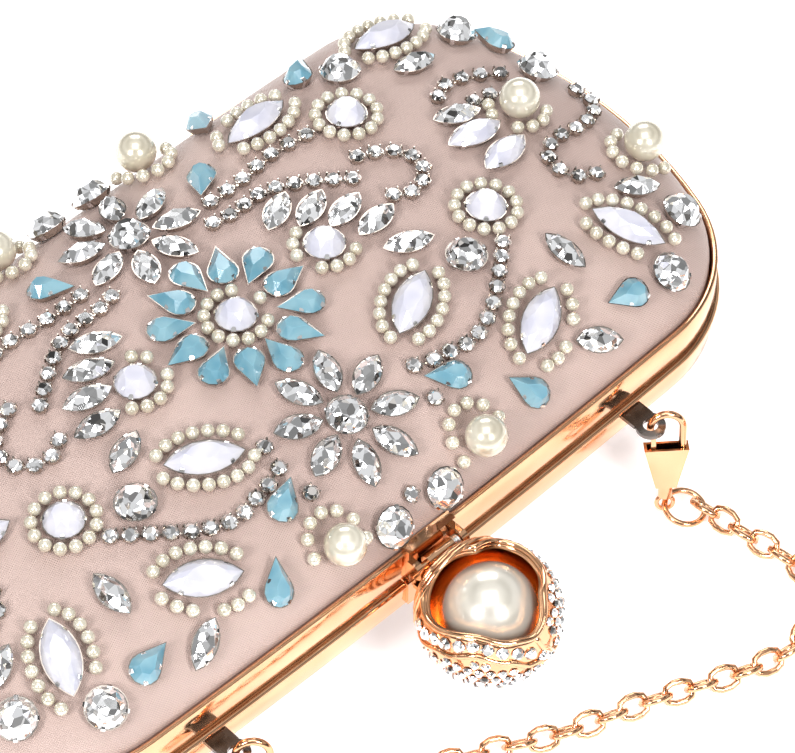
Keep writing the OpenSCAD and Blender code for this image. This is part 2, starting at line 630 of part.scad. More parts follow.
module petals() {
  for (y = FLOWERS, i = [0:PETALS - 1]) let (a = 22.5 + i * 360 / PETALS)
    on_dome(petal_out * cos(a), y + petal_out * sin(a), a) children();
}
module rosette() {
  for (i = [0:ROSETTE_DROPS - 1]) let (a = i * 360 / ROSETTE_DROPS)
    let (r = i % 2 == 0 ? rosette_out : rosette_in)
      on_dome(r * cos(a), r * sin(a), i % 2 == 0 ? a : a + 180) children();
}
module centres() { for (y = FLOWERS) on_dome(0, y, 0) children(); }
module clear_round_settings() {
  color(silver) { both(CLEAR_ROUNDS) round_setting(round_r); centres() round_setting(round_r); }
}
module clear_round_stones() {
  color(clear_colour) { both(CLEAR_ROUNDS) round_stone(round_r); centres() round_stone(round_r); }
}
module clear_navette_settings() {
  color(silver) {
    both(CLEAR_NAVETTES) flat_setting() polygon(navette(navette_l, navette_w));
    petals() flat_setting() polygon(navette(navette_l - 0.6, navette_w));
  }
}
module clear_navette_stones() {
  color(clear_colour) {
    both(CLEAR_NAVETTES) flat_stone() polygon(navette(navette_l - 0.6, navette_w - 0.5));
    petals() flat_stone() polygon(navette(navette_l - 1.2, navette_w - 0.5));
  }
}
module blue_drop_settings() {
  color(silver) {
    both(BLUE_DROPS) flat_setting() polygon(drop(drop_l, drop_w));
    rosette() flat_setting() polygon(drop(drop_l, drop_w));
  }
}
module blue_drop_stones() {
  color(blue_colour) {
    both(BLUE_DROPS) flat_stone() polygon(drop(drop_l - 0.6, drop_w - 0.5));
    rosette() flat_stone() polygon(drop(drop_l - 0.6, drop_w - 0.5));
  }
}
module opal_round_settings() {
  color(silver) { both(OPAL_ROUNDS) round_setting(round_r); on_dome(0, 0.001, 0) round_setting(round_r); }
}
module opal_round_stones() {
  color(opal_colour) { both(OPAL_ROUNDS) round_stone(round_r); on_dome(0, 0.001, 0) round_stone(round_r); }
}
module opal_navette_settings() {
  color(silver) {
    both(OPAL_NAVETTES) flat_setting() polygon(navette(opal_l, opal_w));
    both(OPAL_BARE) flat_setting() polygon(navette(bare_l, bare_w));
  }
}
module opal_navette_stones() {
  color(opal_colour) {
    both(OPAL_NAVETTES) flat_stone() polygon(navette(opal_l - 0.8, opal_w - 0.5));
    both(OPAL_BARE) flat_stone() polygon(navette(bare_l - 0.8, bare_w - 0.5));
  }
}
module large_pearls() {
  color(pearl_colour) both(LARGE_PEARLS) translate([0, 0, pearl_r]) sphere(r = pearl_r, $fn = 48);
}
// Points at an even distance along a row
function lengths(p, i = 0, sum = 0) = i == len(p) - 1 ? [sum] :
  concat([sum], lengths(p, i + 1, sum + norm(p[i + 1] - p[i])));
function at_length(p, l, s, i = 0) = i >= len(p) - 2 || l[i + 1] >= s ?
  p[i] + (p[i + 1] - p[i]) * (s - l[i]) / (l[i + 1] - l[i]) : at_length(p, l, s, i + 1);
function flatten(lists) = [for (l = lists, p = l) p];
// Seed pearls at an even distance round an oval of two radii, over part of a turn
seed_pitch = seed_d + 0.12;
function seed_oval(x, y, turn, rx, ry, from = 0, to = 360) = let (
    p = [for (i = [0:40]) let (a = from + (to - from) * i / 40, px = rx * cos(a), py = ry * sin(a))
      [x + px * cos(turn) - py * sin(turn), y + px * sin(turn) + py * cos(turn)]],
    l = lengths(p), total = l[40], n = floor(total / seed_pitch))
  [for (i = [0:n - 1]) at_length(p, l, (i + (to - from < 360 ? 0.5 : 0)) * total / n)];
seed_ring = round_r + seed_d / 2 + 0.6;         // round a round stone
seed_rx = opal_l / 2 + 1.6;                     // round a white pointed oval
seed_ry = opal_w / 2 + seed_d / 2 + 0.7;
seed_part = pearl_r + seed_d / 2 + 0.3;         // part-way round a large pearl
SEEDS = flatten(concat(
  [seed_oval(0, 0, 0, seed_ring, seed_ring)],
  [for (j = OPAL_ROUNDS, sx = [-1, 1]) seed_oval(sx * j[0], j[1], 0, seed_ring, seed_ring)],
  [for (j = OPAL_NAVETTES, sx = [-1, 1])
    seed_oval(sx * j[0], j[1], sx > 0 ? j[2] : 180 - j[2], seed_rx, seed_ry)],
  [for (j = LARGE_PEARLS, sx = [-1, 1]) let (a = sx > 0 ? j[2] : 180 - j[2])
    seed_oval(sx * j[0], j[1], 0, seed_part, seed_part, a - 108, a + 108)]));
// Room taken up by every stone and large pearl: [x, y, turn, reach behind, reach ahead, width, power]
function rooms(list, behind, ahead, width, power) = [for (j = list, sx = [-1, 1])
  [sx * j[0], j[1], sx > 0 ? j[2] : 180 - j[2], behind, ahead, width, power]];
ROOMS = concat(
  rooms(concat(CLEAR_ROUNDS, OPAL_ROUNDS), 0.01, 0.01, 2 * round_r, 1),
  rooms(LARGE_PEARLS, 0.01, 0.01, 2 * pearl_r, 1),
  rooms(CLEAR_NAVETTES, navette_l / 2, navette_l / 2, navette_w, 2),
  rooms(OPAL_NAVETTES, opal_l / 2, opal_l / 2, opal_w, 2),
  rooms(OPAL_BARE, bare_l / 2, bare_l / 2, bare_w, 2),
  rooms(BLUE_DROPS, 0.01, drop_l - drop_w / 2, drop_w, 1),
  [for (y = FLOWERS) [0, y, 0, 0.01, 0.01, 2 * round_r, 1]],
  [for (y = FLOWERS, i = [0:PETALS - 1]) let (a = 22.5 + i * 360 / PETALS)
    [petal_out * cos(a), y + petal_out * sin(a), a, navette_l / 2, navette_l / 2, navette_w, 2]],
  [for (i = [0:ROSETTE_DROPS - 1]) let (a = i * 360 / ROSETTE_DROPS, out = i % 2 == 0,
      r = out ? rosette_out : rosette_in)
    [r * cos(a), r * sin(a), out ? a : a + 180, 0.01, drop_l - drop_w / 2, drop_w, 1]]);
function in_room(p, r, o) = let (
    d = p - [o[0], o[1]],
    u = d[0] * cos(o[2]) + d[1] * sin(o[2]), v = d[1] * cos(o[2]) - d[0] * sin(o[2]),
    c = max(-o[3], min(o[4], u)), t = abs(c) / (c < 0 ? o[3] : o[4]))
  norm([u - c, v]) < o[5] / 2 * (1 - (o[4] < 0.1 ? 0 : pow(t, o[6]))) + r;
function is_free(p, r) = len([for (o = ROOMS) if (in_room(p, r, o)) 1]) == 0;
SEED_EDGE = 0.965; // no seed pearls are sewn nearer the edge than this share
// A seed pearl is left out where a stone or an earlier seed pearl is in its way
function has_room(i) = share(SEEDS[i][0], SEEDS[i][1], satin_in) < SEED_EDGE
  && len([for (j = [0:1:i - 1]) if (norm(SEEDS[i] - SEEDS[j]) < seed_d + 0.06) j]) == 0
  && is_free(SEEDS[i], seed_d / 2 + 0.25);
SEWN = [for (i = [0:len(SEEDS) - 1]) if (has_room(i)) SEEDS[i]];
module small_pearls() {
  color(pearl_colour) for (p = SEWN) on_dome(p[0], p[1], 0)
    translate([0, 0, seed_d / 2]) sphere(r = seed_d / 2, $fn = 16);
}
function smooth2(p) = concat([for (i = [0:len(p) - 2], k = [0:3]) curve_point(p, i, k / 4)], [p[len(p) - 1]]);
function cup_free(p) = is_free(p, cup_r + 0.1)
  && len([for (q = SEWN) if (norm(p - q) < cup_r + seed_d / 2 + 0.05) 1]) == 0;
module cup_rows() {
  for (row = CUP_ROWS, sx = [-1, 1]) {
    p = smooth2(row);
    l = lengths(p);
    total = l[len(l) - 1];
    n = floor(total / cup_pitch);
    for (i = [0:n]) let (q = at_length(p, l, i * total / n))
      if ((sx > 0 || q[0] > cup_pitch / 2) && cup_free([sx * q[0], q[1]]))
        on_dome(sx * q[0], q[1], 0) children();
  }
}
cup_r = 1.55;
module cup_chain_cups() { color(silver) cup_rows() cylinder(h = 1.2, r = cup_r, $fn = 16); }
module cup_chain_stones() {
  color(clear_colour) cup_rows() translate([0, 0, 1.23])
    cylinder(h = 0.9, r1 = cup_r - 0.15, r2 = 0.8, $fn = 16);
}

back_frame();
back_shell();
back_satin();
back_lining();
back_hinge_leaves();
hinge_pins();
catch_plate();
right_tab();
left_tab();
right_hook_wire();
left_hook_wire();
right_hook_body();
left_hook_body();
right_gate();
left_gate();
right_gate_pin();
left_gate_pin();
right_hook_eye();
left_hook_eye();
right_jump_ring();
left_jump_ring();
chain_run_right();
chain_run_left();
chain_coil();
front_frame();
front_shell();
front_satin();
front_lining();
front_hinge_leaves();
clasp_bracket();
clasp_pin();
clasp_spring();
clasp_lever();
clasp_stem();
clasp_cup();
clasp_rims();
clasp_pearl();
clasp_pave();
clasp_row();
clear_round_settings();
clear_round_stones();
clear_navette_settings();
clear_navette_stones();
blue_drop_settings();
blue_drop_stones();
opal_round_settings();
opal_round_stones();
opal_navette_settings();
opal_navette_stones();
large_pearls();
small_pearls();
cup_chain_cups();
cup_chain_stones();
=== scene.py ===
import math
import random

import bmesh
import bpy
from mathutils import Matrix, Vector
from mathutils.bvhtree import BVHTree


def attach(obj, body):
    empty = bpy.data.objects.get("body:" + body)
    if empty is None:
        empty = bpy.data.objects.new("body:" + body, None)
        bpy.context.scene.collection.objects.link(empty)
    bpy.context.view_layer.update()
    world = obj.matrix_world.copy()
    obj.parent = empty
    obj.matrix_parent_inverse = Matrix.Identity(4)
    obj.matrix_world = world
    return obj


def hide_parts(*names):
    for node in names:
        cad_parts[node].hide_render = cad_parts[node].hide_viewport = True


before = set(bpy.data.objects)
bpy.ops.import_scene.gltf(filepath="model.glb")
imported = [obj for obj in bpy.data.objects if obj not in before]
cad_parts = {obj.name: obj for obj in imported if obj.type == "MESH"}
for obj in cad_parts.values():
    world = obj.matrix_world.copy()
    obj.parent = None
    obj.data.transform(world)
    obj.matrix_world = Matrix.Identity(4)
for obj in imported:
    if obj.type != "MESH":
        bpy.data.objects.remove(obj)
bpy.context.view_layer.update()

mm = 0.001
random.seed(7)

# ---- Camera ----
# A long lens a metre away, looking down on the jewelled half from in front and to the
# left, so that the bag's right-hand end points away from it.
azimuth, elevation, distance = math.radians(-44), math.radians(51.6), 1.0
aim = Vector((29.48, -16.44, 23.91)) * mm
ahead = Vector((-math.sin(azimuth) * math.cos(elevation), math.cos(azimuth) * math.cos(elevation),
                -math.sin(elevation)))
camera = bpy.data.objects.new("camera", bpy.data.cameras.new("camera"))
bpy.context.collection.objects.link(camera)
camera.location = aim - ahead * distance
camera.rotation_euler = ahead.to_track_quat("-Z", "Y").to_euler()
camera.data.lens = 217.4
camera.data.sensor_width = 36
camera.data.clip_end = 20
bpy.context.scene.camera = camera

# ---- Chain ----
# The carrying chain: oval cable links of round rose-gold wire, each turned across
# the next. It runs from the right ring over the table to a neat two-layer coil and
# back to the left ring.
link_long, link_wide, link_wire = 7.8 * mm, 5.8 * mm, 1.4 * mm
link_pitch = link_long - 2 * link_wire
link_tilt = math.radians(45)
chain_sink = 0.55 * mm
RIGHT_ROUTE = [[63.2, -74.3, 3], [64, -81, 3], [64.5, -86, 3], [65.5, -91, 3], [66, -97, 3],
               [65.5, -104, 3], [65, -111, 3], [64.3, -120, 3]]
LEFT_ROUTE = [[88, -94, 9], [80, -97, 9.2], [72, -101, 9.2], [65, -105, 9.2], [59, -109, 7],
              [54, -111, 4.5], [49, -111.5, 3.2], [43, -110, 3], [36, -107.5, 3], [28, -104, 3],
              [19, -100, 3], [9, -96.5, 3], [-2, -92, 3], [-12, -86.5, 3], [-22, -82, 3],
              [-33, -79.5, 3], [-43, -78.5, 3], [-53.8, -74.3, 3]]
coil_centre = Vector((100, -130, 0))
coil_outer, coil_inner, coil_turns = 36, 21.75, 4.75
coil_low, coil_high = 3, 9


def piece(name, bm, body, materials, smooth=True):
    """Makes a finished piece from bm, on a body and its materials."""
    mesh = bpy.data.meshes.new(name)
    for face in bm.faces:
        face.smooth = smooth
    bm.to_mesh(mesh)
    bm.free()
    made = bpy.data.objects.new(name, mesh)
    bpy.context.collection.objects.link(made)
    for material in materials:
        mesh.materials.append(material)
    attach(made, body)
    return made


def stamp(bm, shape, place):
    """Adds a copy of a mesh to bm at a place."""
    shape.transform(place)
    bm.from_mesh(shape)
    shape.transform(place.inverted())


def template(name, bm, smooth=False):
    """Keeps bm as a mesh to stamp from."""
    for face in bm.faces:
        face.smooth = smooth
    mesh = bpy.data.meshes.new(name)
    bm.to_mesh(mesh)
    bm.free()
    return mesh


def edges_of(result):
    return [e for e in result["geom_last"] if isinstance(e, bmesh.types.BMEdge)]


def oval_ring(long, wide, wire, sides, steps):
    """A closed oval of round wire in the XY plane, long along X."""
    bm = bmesh.new()
    radius, half = (wide - wire) / 2, (long - wide) / 2
    start = bmesh.ops.create_circle(bm, segments=sides, radius=wire / 2)["verts"]
    bmesh.ops.rotate(bm, verts=start, cent=(0, 0, 0), matrix=Matrix.Rotation(math.pi / 2, 3, "Y"))
    bmesh.ops.translate(bm, verts=start, vec=(half, -radius, 0))
    first = list(bm.edges)
    half_turn = {"axis": (0, 0, 1), "angle": math.pi, "steps": steps}
    last = edges_of(bmesh.ops.spin(bm, geom=first, cent=(half, 0, 0), **half_turn))
    if half > 0:
        straight = bmesh.ops.extrude_edge_only(bm, edges=last)["geom"]
        bmesh.ops.translate(bm, verts=[v for v in straight if isinstance(v, bmesh.types.BMVert)],
                            vec=(-2 * half, 0, 0))
        last = [e for e in straight if isinstance(e, bmesh.types.BMEdge)]
    last = edges_of(bmesh.ops.spin(bm, geom=last, cent=(-half, 0, 0), **half_turn))
    if half > 0:
        bmesh.ops.bridge_loops(bm, edges=first + last)
    bmesh.ops.remove_doubles(bm, verts=bm.verts, dist=wire * 0.02)
    bmesh.ops.recalc_face_normals(bm, faces=bm.faces)
    return bm


def smooth_curve(points, n):
    """Points of one smooth curve through a route, n to each stretch."""
    made = []
    for i in range(len(points) - 1):
        a, b, c, d = (points[k] for k in (max(i - 1, 0), i, i + 1, min(i + 2, len(points) - 1)))
        for k in range(n):
            t = k / n
            made.append(0.5 * (2 * b + (c - a) * t + (2 * a - 5 * b + 4 * c - d) * t ** 2
                               + (3 * b - a - 3 * c + d) * t ** 3))
    return made + [points[-1]]


def coil_points(steps=24):
    """The coil's turns: inwards on the table, then outwards on top of themselves."""
    made = []
    total = int(coil_turns * steps)
    for i in range(total + 1):
        part = i / total
        turn = math.pi + part * coil_turns * 2 * math.pi
        radius = coil_inner + (coil_outer - coil_inner) * abs(2 * part - 1)
        climb = min(max((part - 0.46) / 0.08, 0), 1)
        height = coil_low + (coil_high - coil_low) * climb
        made.append(coil_centre + Vector((radius * math.cos(turn), radius * math.sin(turn), height)))
    return made


def at_even_lengths(points, step):
    """Points and directions along a line, as near a step apart as fits."""
    lengths = [0]
    for a, b in zip(points, points[1:]):
        lengths.append(lengths[-1] + (b - a).length)
    count = round(lengths[-1] / step)
    made, i = [], 0
    for k in range(count + 1):
        want = lengths[-1] * k / count
        while i < len(points) - 2 and lengths[i + 1] < want:
            i += 1
        part = (want - lengths[i]) / (lengths[i + 1] - lengths[i])
        made.append((points[i].lerp(points[i + 1], part), (points[i + 1] - points[i]).normalized()))
    return made


def across(direction, tilt=0.0):
    """A turn that lays X along a direction, with Z up and then tilted about it."""
    x = direction.normalized()
    y = Vector((0, 0, 1)).cross(x).normalized()
    z = x.cross(y)
    turned = Matrix((x, y, z)).transposed()
    return (turned @ Matrix.Rotation(tilt, 3, "X")).to_4x4()


route = [Vector(p) for p in RIGHT_ROUTE] + coil_points() + [Vector(p) for p in LEFT_ROUTE]
chain_line = [(p - Vector((0, 0, chain_sink / mm))) * mm for p in smooth_curve(route, 4)]
link_shape = template("link_shape", oval_ring(link_long, link_wide, link_wire, 8, 4), smooth=True)
bm = bmesh.new()
placed = at_even_lengths(chain_line, link_pitch)
for i, (point, direction) in enumerate(placed):
    tilt = link_tilt if i % 2 else -link_tilt
    tilt += math.radians(random.uniform(-7, 7))
    stamp(bm, link_shape, Matrix.Translation(point) @ across(direction, tilt))


def node_group(name, inputs, outputs):
    """An empty node group with named inputs (name, kind, default) and outputs (name, kind)."""
    group = bpy.data.node_groups.new(name, "ShaderNodeTree")
    for title, kind, value in inputs:
        socket = group.interface.new_socket(title, in_out="INPUT", socket_type="NodeSocket" + kind)
        if value is not None:
            socket.default_value = value
    for title, kind in outputs:
        group.interface.new_socket(title, in_out="OUTPUT", socket_type="NodeSocket" + kind)
    return group, group.nodes.new("NodeGroupInput").outputs, group.nodes.new("NodeGroupOutput").inputs


def node(tree, kind, settings=None, **inputs):
    """A node of a kind, with its settings, and its inputs set or linked by name."""
    made = tree.nodes.new("ShaderNode" + kind)
    for key, value in (settings or {}).items():
        setattr(made, key, value)
    for key, value in inputs.items():
        socket = made.inputs[int(key[1:])] if key[0] == "i" and key[1:].isdigit() else made.inputs[key]
        if isinstance(value, bpy.types.NodeSocket):
            tree.links.new(value, socket)
        else:
            socket.default_value = value
    return made


def finish_group():
    """Fine hair scratches and cloudy polish of plated metal."""
    group, given, result = node_group("metal_polish", [("Vector", "Vector", None), ("Roughness", "Float", 0.1),
                                                       ("Scratch", "Float", 0.1)],
                                      [("Roughness", "Float"), ("Height", "Float")])
    cloud = node(group, "TexNoise", Vector=given["Vector"], Scale=260.0, Detail=3.0)
    stretch = node(group, "Mapping", Vector=given["Vector"], Scale=(400.0, 3500.0, 1500.0))
    hair = node(group, "TexNoise", Vector=stretch.outputs["Vector"], Scale=1.0, Detail=2.0)
    spread = node(group, "MapRange", Value=cloud.outputs["Fac"], **{"From Min": 0.3, "From Max": 0.7,
                                                                   "To Min": 0.6, "To Max": 1.5})
    rough = node(group, "Math", {"operation": "MULTIPLY"}, i0=given["Roughness"], i1=spread.outputs["Result"])
    height = node(group, "Math", {"operation": "MULTIPLY"}, i0=hair.outputs["Fac"], i1=given["Scratch"])
    group.links.new(rough.outputs["Value"], result["Roughness"])
    group.links.new(height.outputs["Value"], result["Height"])
    return group


metal_polish = finish_group()


def new_material(name, settings):
    """A node material with constants set on its shader."""
    material = bpy.data.materials.new(name)
    material.use_nodes = True
    shader = material.node_tree.nodes["Principled BSDF"]
    for key, value in settings.items():
        shader.inputs[key].default_value = value
    return material, material.node_tree, shader


def ramp(tree, factor, stops):
    """A colour that follows a factor through stops, each (position, shade)."""
    made = node(tree, "ValToRGB", Fac=factor)
    points = made.color_ramp.elements
    for point, (place, shade) in zip(points, (stops[0], stops[-1])):
        point.position, point.color = place, (*shade, 1)
    for place, shade in stops[1:-1]:
        points.new(place).color = (*shade, 1)
    return made.outputs["Color"]


def tinted(tree, position, low, high, scale, detail=2.0):
    """A colour that drifts between two shades over the surface."""
    cloud = node(tree, "TexNoise", Vector=position, Scale=scale, Detail=detail)
    return ramp(tree, cloud.outputs["Fac"], [(0.35, low), (0.65, high)])


def polished(name, low, high, roughness, scratch=0.12):
    """A plated or polished metal."""
    material, tree, shader = new_material(name, {"Metallic": 1.0})
    position = node(tree, "TexCoord").outputs["Object"]
    tree.links.new(tinted(tree, position, low, high, 90.0), shader.inputs["Base Color"])
    wear = node(tree, "Group", {"node_tree": metal_polish}, Vector=position, Roughness=roughness,
                Scratch=scratch)
    tree.links.new(wear.outputs["Roughness"], shader.inputs["Roughness"])
    bump = node(tree, "Bump", Height=wear.outputs["Height"], Strength=0.25, Distance=0.00004)
    tree.links.new(bump.outputs["Normal"], shader.inputs["Normal"])
    return material


rose_gold = polished("rose_gold", (0.82, 0.46, 0.26), (0.88, 0.52, 0.31), 0.12)
chain = piece("chain", bm, "back_half", [rose_gold])
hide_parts("chain_run_right", "chain_run_left", "chain_coil")

# ---- Light and floor ----
# A white sweep that glows a little, under a big overhead light, one behind and two small
# window-like ones in front. The sky's dark bands, and a dark patch where the camera
# stands, give the metal and the stones their contrast.
world = bpy.data.worlds.new("studio")
bpy.context.scene.world = world
world.use_nodes = True
sky = world.node_tree
sky_way = node(sky, "TexCoord").outputs["Generated"]
facing = node(sky, "VectorMath", {"operation": "DOT_PRODUCT"}, i0=sky_way, i1=tuple(-ahead))
patch = ramp(sky, facing.outputs["Value"], [(0.95, (1, 1, 1)), (0.985, (0.12, 0.12, 0.13))])
rise = node(sky, "SeparateXYZ", Vector=sky_way)
BANDS = [(0, 0.85), (0.1, 0.7), (0.18, 0.12), (0.3, 0.1), (0.38, 0.9), (0.6, 1.0), (0.68, 0.2), (0.8, 0.15),
         (0.86, 0.9)]
greys = [(place, (shade, shade, shade)) for place, shade in BANDS]
bands = ramp(sky, rise.outputs["Z"], greys + [(1, (0.9, 0.9, 0.92))])
mixed = node(sky, "Mix", {"data_type": "RGBA", "blend_type": "MULTIPLY"})
mixed.inputs[0].default_value = 1.0
sky.links.new(bands, mixed.inputs[6])
sky.links.new(patch, mixed.inputs[7])
sky.links.new(mixed.outputs[2], sky.nodes["Background"].inputs["Color"])
sky.nodes["Background"].inputs["Strength"].default_value = 0.62


def soft_light(name, turn, rise_angle, away, size, power):
    """A square soft light aimed at the bag from a direction in degrees."""
    a, e = math.radians(turn), math.radians(rise_angle)
    back = Vector((math.sin(a) * math.cos(e), -math.cos(a) * math.cos(e), math.sin(e)))
    data = bpy.data.lights.new(name, "AREA")
    data.shape, data.size, data.size_y, data.energy = "RECTANGLE", size[0], size[1], power
    light = bpy.data.objects.new(name, data)
    light.location = back * away
    light.rotation_euler = (-back).to_track_quat("-Z", "Y").to_euler()
    bpy.context.collection.objects.link(light)


soft_light("window_left", -80, 40, 1.2, (0.26, 0.4), 8)
soft_light("window_right", -8, 40, 1.2, (0.26, 0.4), 8)
soft_light("overhead", -40, 80, 1.5, (0.9, 0.9), 6)
soft_light("behind", 140, 40, 1.4, (0.8, 0.5), 6)

bm = bmesh.new()
bmesh.ops.create_grid(bm, x_segments=2, y_segments=2, size=4)
paper, tree, shader = new_material("paper", {"Roughness": 0.9, "Specular IOR Level": 0.2,
                                             "Emission Color": (1, 1, 1, 1), "Emission Strength": 0.42})
position = node(tree, "TexCoord").outputs["Object"]
tree.links.new(tinted(tree, position, (0.93, 0.93, 0.93), (0.94, 0.94, 0.94), 3.0), shader.inputs["Base Color"])
floor_mesh = bpy.data.meshes.new("floor")
bm.to_mesh(floor_mesh)
bm.free()
floor_mesh.materials.append(paper)
floor = bpy.data.objects.new("floor", floor_mesh)
bpy.context.collection.objects.link(floor)

# ---- Metal bands ----
# Each half is edged with a rolled brass channel, plated rose gold and polished. Its
# outer wall is the band that shows, its floor meets the other half's, and an inner lip
# grips the shell. The plain half's band carries a half-round bead at the seam.
seam_z = 25 * mm
half_l, half_w = 108 * mm, 56 * mm
end_r, corner_r, side_r = 105 * mm, 32 * mm, 2200 * mm
front_band_h, back_band_h = 9.4 * mm, 7.8 * mm
metal_t, channel_w, lip_h, part_gap = 1.2 * mm, 6.2 * mm, 4 * mm, 0.05 * mm
bead_h, bead_out = 1.4 * mm, 0.9 * mm
side_c, end_c = Vector((0, half_w - side_r, 0)), Vector((half_l - end_r, 0, 0))
between = (end_c - side_c).length
along = ((side_r - corner_r) ** 2 - (end_r - corner_r) ** 2 + between ** 2) / (2 * between)
sideways = math.sqrt((side_r - corner_r) ** 2 - along ** 2)
way = (end_c - side_c) / between
corner_c = side_c + way * along + Vector((way.y, -way.x, 0)) * sideways
end_turn = math.atan2(corner_c.y - end_c.y, corner_c.x - end_c.x)
side_turn = math.atan2(corner_c.y - side_c.y, corner_c.x - side_c.x)
OUTLINE_ARCS = [(end_c, end_turn, 6), (corner_c, side_turn - end_turn, 14),
                (side_c, math.pi / 2 - side_turn, 10)]


def round_the_case(bm, profile):
    """Sweeps edges that stand at the end's middle round the whole outline."""
    last = profile
    for centre, turn, steps in OUTLINE_ARCS:
        last = bmesh.ops.spin(bm, geom=last, cent=centre, axis=(0, 0, 1), angle=turn, steps=steps)["geom_last"]
    for axis in ("X", "Y"):
        everything = bm.verts[:] + bm.edges[:] + bm.faces[:]
        bmesh.ops.mirror(bm, geom=everything, matrix=Matrix.Identity(4), merge_dist=1e-6, axis=axis)
    bmesh.ops.remove_doubles(bm, verts=bm.verts, dist=1e-6)
    bmesh.ops.recalc_face_normals(bm, faces=bm.faces)


def band(corners, rounding):
    """A closed section, given as [inset, height], swept round the case."""
    bm = bmesh.new()
    section = bm.faces.new([bm.verts.new((half_l - inset, 0, height)) for inset, height in corners])
    bmesh.ops.bevel(bm, geom=section.verts[:], offset=rounding, segments=2, profile=0.5,
                    affect="VERTICES", material=-1)
    bmesh.ops.delete(bm, geom=bm.faces[:], context="FACES_ONLY")
    round_the_case(bm, bm.edges[:])
    return bm


def channel_section(direction, height):
    """Outer wall, floor and inner lip, above or below the seam."""
    def z(value):
        return seam_z + direction * value
    return [(0, z(part_gap)), (0, z(height)), (metal_t, z(height)), (metal_t, z(metal_t)),
            (channel_w - metal_t, z(metal_t)), (channel_w - metal_t, z(lip_h)), (channel_w, z(lip_h)),
            (channel_w, z(part_gap))]


front_band = piece("front_band", band(channel_section(1, front_band_h), 0.3 * mm), "front_half",
                   [rose_gold])
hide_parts("front_frame")
back_band = piece("back_band", band(channel_section(-1, back_band_h), 0.3 * mm), "back_half",
                  [rose_gold])
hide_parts("back_frame")
hinge_x, hinge_half, bracket_half = 46 * mm, 8.3 * mm, 6.9 * mm


def bead():
    """The half-round bead, cut away at the two hinges and the clasp's bracket."""
    bm = bmesh.new()
    middle = bm.verts.new((half_l, 0, seam_z - part_gap))
    bmesh.ops.spin(bm, geom=[middle], cent=(half_l, 0, seam_z - part_gap - bead_h / 2), axis=(0, 1, 0),
                         angle=math.pi, steps=8)
    for v in bm.verts:
        v.co.x = half_l + (v.co.x - half_l) * bead_out / (bead_h / 2)
    if sum(v.co.x for v in bm.verts) < len(bm.verts) * half_l:
        for v in bm.verts:
            v.co.x = 2 * half_l - v.co.x
    ends = [v for v in bm.verts if len(v.link_edges) == 1]
    inner = [bm.verts.new((half_l - 0.2 * mm, 0, v.co.z)) for v in ends]
    bm.edges.new((ends[0], inner[0]))
    bm.edges.new((ends[1], inner[1]))
    bm.edges.new(inner)
    round_the_case(bm, bm.edges[:])
    gaps = [(side * hinge_x - hinge_half, side * hinge_x + hinge_half, 1) for side in (-1, 1)]
    gaps.append((-bracket_half, bracket_half, -1))
    for low, high, side in gaps:
        for x in (low, high):
            near = [f for f in bm.faces if f.calc_center_median().y * side > 0]
            near += list({e for f in near for e in f.edges}) + list({v for f in near for v in f.verts})
            bmesh.ops.bisect_plane(bm, geom=near, plane_co=(x, 0, 0), plane_no=(1, 0, 0), dist=1e-7)
        inside = [f for f in bm.faces if low < f.calc_center_median().x < high
                  and f.calc_center_median().y * side > 0]
        bmesh.ops.delete(bm, geom=inside, context="FACES")
    bmesh.ops.holes_fill(bm, edges=[e for e in bm.edges if e.is_boundary])
    bmesh.ops.recalc_face_normals(bm, faces=bm.faces)
    return bm


piece("seam_bead", bead(), "back_half", [rose_gold])

# ---- Satin, shells and lining ----
# Each half is a moulded board shell, covered outside in blush satin that is pulled
# over it and tucked into the channel, and lined inside with fine cloth.
dome_power, flat_share = 2.4, 0.4
front_rise, back_rise = 18.6 * mm, 17.2 * mm
satin_in, satin_t = 1.8 * mm, 0.5 * mm
lining_in, lining_t = 3.9 * mm, 0.6 * mm
rim_z = metal_t + 0.05 * mm
flat_lift = back_rise / math.sqrt(1 - flat_share ** dome_power) - back_rise
DOME_RINGS = 22


def dome(share, rise):
    return rise * math.sqrt(max(0.0, 1 - min(share, 1.0) ** dome_power))


def dome_skin(inset, direction, start, rise, cap):
    """A domed sheet that follows the outline, open towards the seam."""
    bm = bmesh.new()
    rim = bm.verts.new((half_l - inset, 0, seam_z + direction * rim_z))
    round_the_case(bm, [rim])
    loop = bm.edges[:]
    shares = [1] + [math.sin(math.pi / 2 * (1 - k / DOME_RINGS)) ** 0.75 for k in range(DOME_RINGS)]
    level, before = rim_z, 1.0
    for share in shares:
        grown = bmesh.ops.extrude_edge_only(bm, edges=loop)["geom"]
        verts = [v for v in grown if isinstance(v, bmesh.types.BMVert)]
        height = start + min(dome(share, rise), cap)
        bmesh.ops.scale(bm, verts=verts, vec=(share / before, share / before, 1))
        bmesh.ops.translate(bm, verts=verts, vec=(0, 0, direction * (height - level)))
        loop = [e for e in grown if isinstance(e, bmesh.types.BMEdge)]
        level, before = height, share
    last = list({v for e in loop for v in e.verts})
    bmesh.ops.pointmerge(bm, verts=last, merge_co=(0, 0, seam_z + direction * (start + min(rise, cap))))
    bmesh.ops.dissolve_degenerate(bm, edges=bm.edges, dist=1e-7)
    bmesh.ops.recalc_face_normals(bm, faces=bm.faces)
    if bm.faces[0].normal.dot(bm.faces[0].calc_center_median() - Vector((0, 0, seam_z))) < 0:
        bmesh.ops.reverse_faces(bm, faces=bm.faces)
    return bm


def thicken(made, thickness):
    """Gives a sheet its thickness, towards the inside."""
    solid = made.modifiers.new("thickness", "SOLIDIFY")
    solid.thickness, solid.offset = thickness, -1


